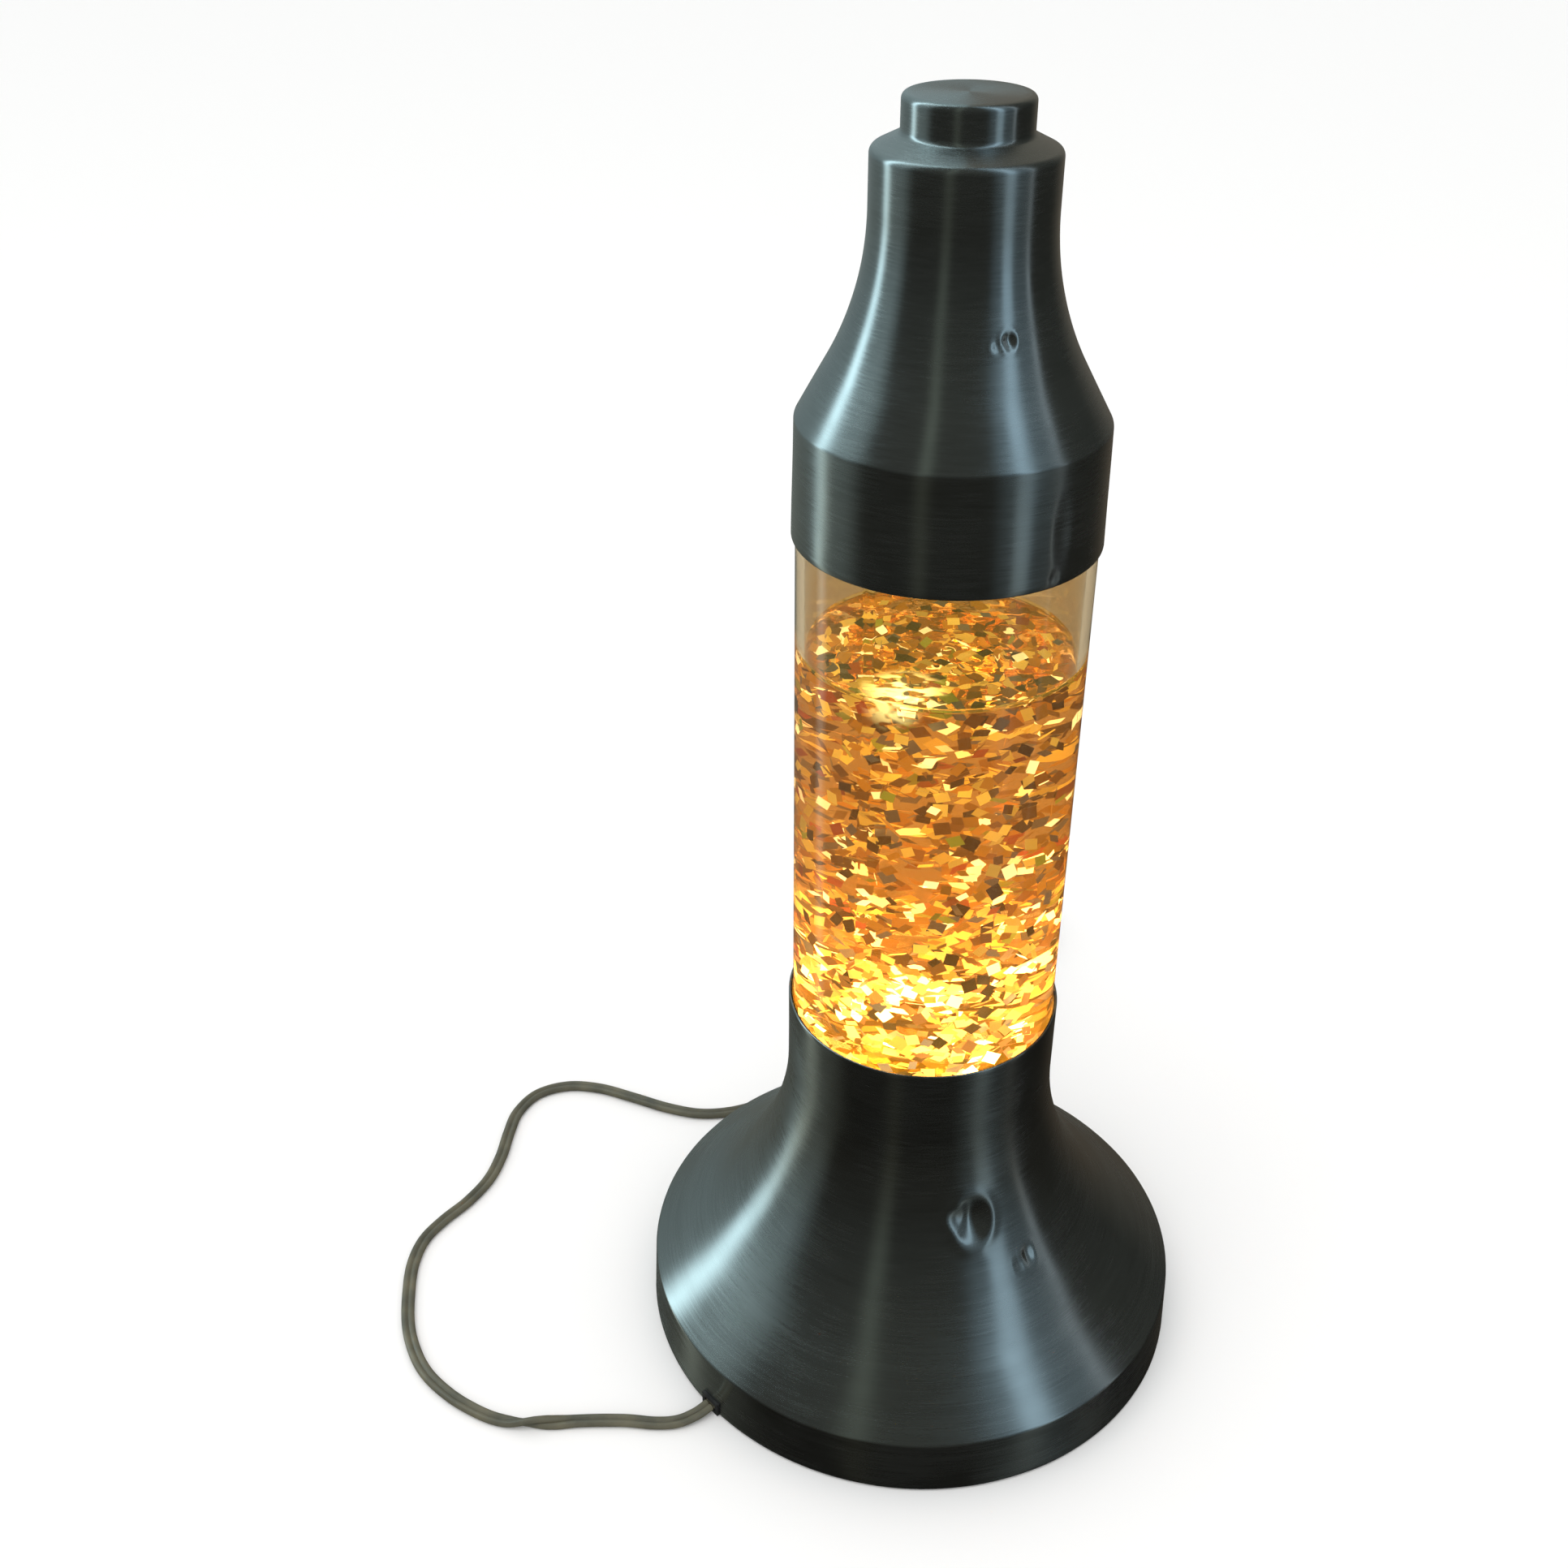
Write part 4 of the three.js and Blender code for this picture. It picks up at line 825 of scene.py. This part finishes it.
for number in range(1, 5):
    foot_low, foot_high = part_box(f"foot_{number}")
    middle = (foot_low + foot_high) / 2
    spun_part(f"foot_{number}", [
        (0, 0.5), (2.8, 0.5, 0.2, 2), (3.2, 0, 0.2, 2), (6.5, 0, 0.9, 5), (6.5, 2.7, 0.3, 3), (2.7, 2.7),
        (2.7, 4.5), (4.3, 4.5, 0.2, 3), (2.9, 6.5, 0.5, 4), (0, 6.5),
    ], "base", "black_rubber", black_rubber, 64, (middle.x, middle.y))
SEAT_OUTSIDE, SEAT_INSIDE = 45.1, 38.1
spun_part("seat_gasket", [
    (SEAT_OUTSIDE, 120.3), (SEAT_OUTSIDE, 123.7), (SEAT_INSIDE, 123.7), (SEAT_INSIDE, 120.3),
    (SEAT_OUTSIDE, 120.3),
], "base", "black_rubber", black_rubber, 160)
spun_part("seat_ring", [
    (SEAT_OUTSIDE, 109), (SEAT_OUTSIDE, 120, 0.8, 4), (SEAT_INSIDE, 120), (SEAT_INSIDE, 118.8),
    (43.9, 118.8, 0.3, 3), (43.9, 109), (SEAT_OUTSIDE, 109),
], "base", "pressed_steel", pressed_steel, 160)
spun_part("lampholder_body", [
    (5.15, 22.3), (11, 22.3, 2, 5), (14, 25.3, 2, 5), (14, 30), (13.6, 30.5, 0.4, 3), (13.6, 46, 0.4, 3),
    (14, 46.5), (14, 54.3, 1.5, 6), (8.05, 54.3, 0.5, 4), (8.05, 26.3), (5.15, 26.3), (5.15, 22.3),
], "base", "ceramic", porcelain, 96)
threaded("lampholder_shell", 7.7, 29.8, 51.3, "base", brass_finish, depth=0.35, wall=0.3)
spun_part("cap_liner", [
    (36.3, 331.4), (44, 327.2, 0.6, 3), (44, 334, 1, 4), (36.3, 334.4, 1, 4), (36.3, 331.4),
], "cap", "grey_felt", grey_felt, 128)
spun_part("bottle_closure", [
    (18.4, 361), (19.4, 361, 0.3, 3), (19.4, 374.9, 1.5, 6), (16, 375.4, 0.4, 3), (0, 375.4), (0, 374.2),
    (18.4, 374.2), (18.4, 361),
], "vessel", "ivory_plastic", ivory_plastic, 240, ribs=(60, 0.14, 19))
spun_part("closure_seal", [(0, 372.3), (18, 372.3, 0.3, 2), (18, 373.9, 0.3, 2), (0, 373.9)],
          "vessel", "black_rubber", black_rubber)
spun_part("bulb_glass", [
    (5.5, 46.1), (5.5, 56.1, 4, 8), (25, 92, 14, 16), (25, 114, 16, 20), (0, 114), (0, 113.2),
    (24.2, 113.2, 15.2, 20), (24.2, 92.2, 13.4, 16), (4.7, 56.3, 4.4, 8), (4.7, 46.1), (5.5, 46.1),
], "bulb", "frosted_glass", frosted_bulb(), 128)
threaded("bulb_screw_cap", 6.9, 37.2, 54.1, "bulb", brass_finish)

carried(bright_zinc, "holder_nipple", "bulb_contact")
carried(brass_finish, "lampholder_contact")
carried(dark_plastic, "bulb_insulator")
carried(dark_core, "live_wire")
carried(pale_core, "neutral_wire")
carried(tungsten, "bulb_filament")
carried(flex.data.materials[0], "cord_inside")
carried(bottle_glass(), "bulb_stem")


# ---------------------------------------------------------------- floor, light and surroundings
def area_light(name, place_at, aim, size, power, tint):
    data = bpy.data.lights.new(name, "AREA")
    data.shape = "RECTANGLE"
    data.size, data.size_y = size
    data.energy = power
    data.color = colour(tint)[:3]
    made = bpy.data.objects.new(name, data)
    made.location = place_at
    made.rotation_euler = (Vector(aim) - Vector(place_at)).to_track_quat("-Z", "Y").to_euler()
    bpy.context.scene.collection.objects.link(made)
    return made


def make_studio():
    bm = bmesh.new()
    bmesh.ops.create_grid(bm, x_segments=1, y_segments=1, size=30)
    floor = object_of(bm, "floor")
    paper, tree, _ = start_material("matt white paper")
    finish_material(tree, {"Base Color": colour("#fbfbfa"), "Roughness": 0.9})
    floor.data.materials.append(paper)
    floor.visible_glossy = False

    key = area_light("soft overhead light", (-0.5, -0.6, 1.6), (0, 0, 0.1), (1.2, 1.2), 6, "#ffffff")
    key.visible_glossy = False
    make_surroundings()


# What the metal mirrors: a dim room, with these things standing round it. Each has its azimuth in degrees
# from the front, to the right; half its width and its soft edge in degrees; how much it adds; and its tint.
ROOM_TINT, ROOM_BRIGHTNESS = "#bcc0b4", 0.08
AROUND = [
    (-128, 50, 15, 0.4, "#c8e0e6"),  # pale wall on the left
    (-104, 1, 7, 3, "#d4f0fa"),  # tall window in it
    (-18, 0, 8, 0.2, "#bcc8b8"),  # door left ajar in front
    (60, 20, 8, 0.2, "#a8c6da"),  # bluish wall on the right
    (55, 4, 4, 0.85, "#c0dcf0"),  # smaller window in it
    (84, 0, 3, 0.8, "#e8f4ff"),  # gap in a curtain
    (170, 15, 30, 0.2, "#c4b8a8"),  # warm wall behind
]


def make_surroundings():
    world = bpy.data.worlds.new("surroundings")
    bpy.context.scene.world = world
    world.use_nodes = True
    tree = world.node_tree
    tree.nodes.clear()
    way = node(tree, "SeparateXYZ", {"Vector": node(tree, "TexCoord").outputs["Generated"]})
    front = node(tree, "Math", {0: way.outputs["Y"], 1: -1}, operation="MULTIPLY")
    azimuth = node(tree, "Math", {0: way.outputs["X"], 1: front.outputs["Value"]}, operation="ARCTAN2")
    mirrored_tone = (*(c * ROOM_BRIGHTNESS for c in colour(ROOM_TINT)[:3]), 1)
    for centre, half, soft, bright, tint in AROUND:
        off = node(tree, "Math", {
            0: azimuth.outputs["Value"], 1: math.radians(centre),
        }, operation="SUBTRACT")
        gap = node(tree, "Math", {0: off.outputs["Value"]}, operation="ABSOLUTE")
        share = node(tree, "MapRange", {
            "Value": gap.outputs["Value"],
            "From Min": math.radians(half + soft), "From Max": math.radians(half),
        })
        mirrored_tone = node(tree, "MixRGB", {
            "Fac": share.outputs["Result"], "Color1": mirrored_tone,
            "Color2": (*(c * bright for c in colour(tint)[:3]), 1),
        }, blend_type="ADD").outputs["Color"]
    rise = node(tree, "MapRange", {
        "Value": way.outputs["Z"], "From Min": -0.75, "From Max": 0.7,
        "To Min": 0.2, "To Max": 2.1,
    })
    low = node(tree, "MapRange", {"Value": way.outputs["Z"], "From Min": -0.1, "From Max": -0.5})
    table_glow = node(tree, "MixRGB", {
        "Fac": low.outputs["Result"], "Color1": mirrored_tone, "Color2": (1, 0.82, 0.64, 1),
    }, blend_type="MULTIPLY")
    mirrored = node(tree, "Background", {
        "Color": table_glow.outputs["Color"], "Strength": rise.outputs["Result"],
    })
    pale = node(tree, "Background", {"Color": colour("#fdfdfd"), "Strength": 1.04})
    path = node(tree, "LightPath")
    mix = node(tree, "MixShader", {
        0: path.outputs["Is Glossy Ray"], 1: pale.outputs["Background"], 2: mirrored.outputs["Background"],
    })
    output = node(tree, "OutputWorld")
    tree.links.new(mix.outputs["Shader"], output.inputs["Surface"])


make_studio()
bpy.context.scene.view_settings.view_transform = "Standard"
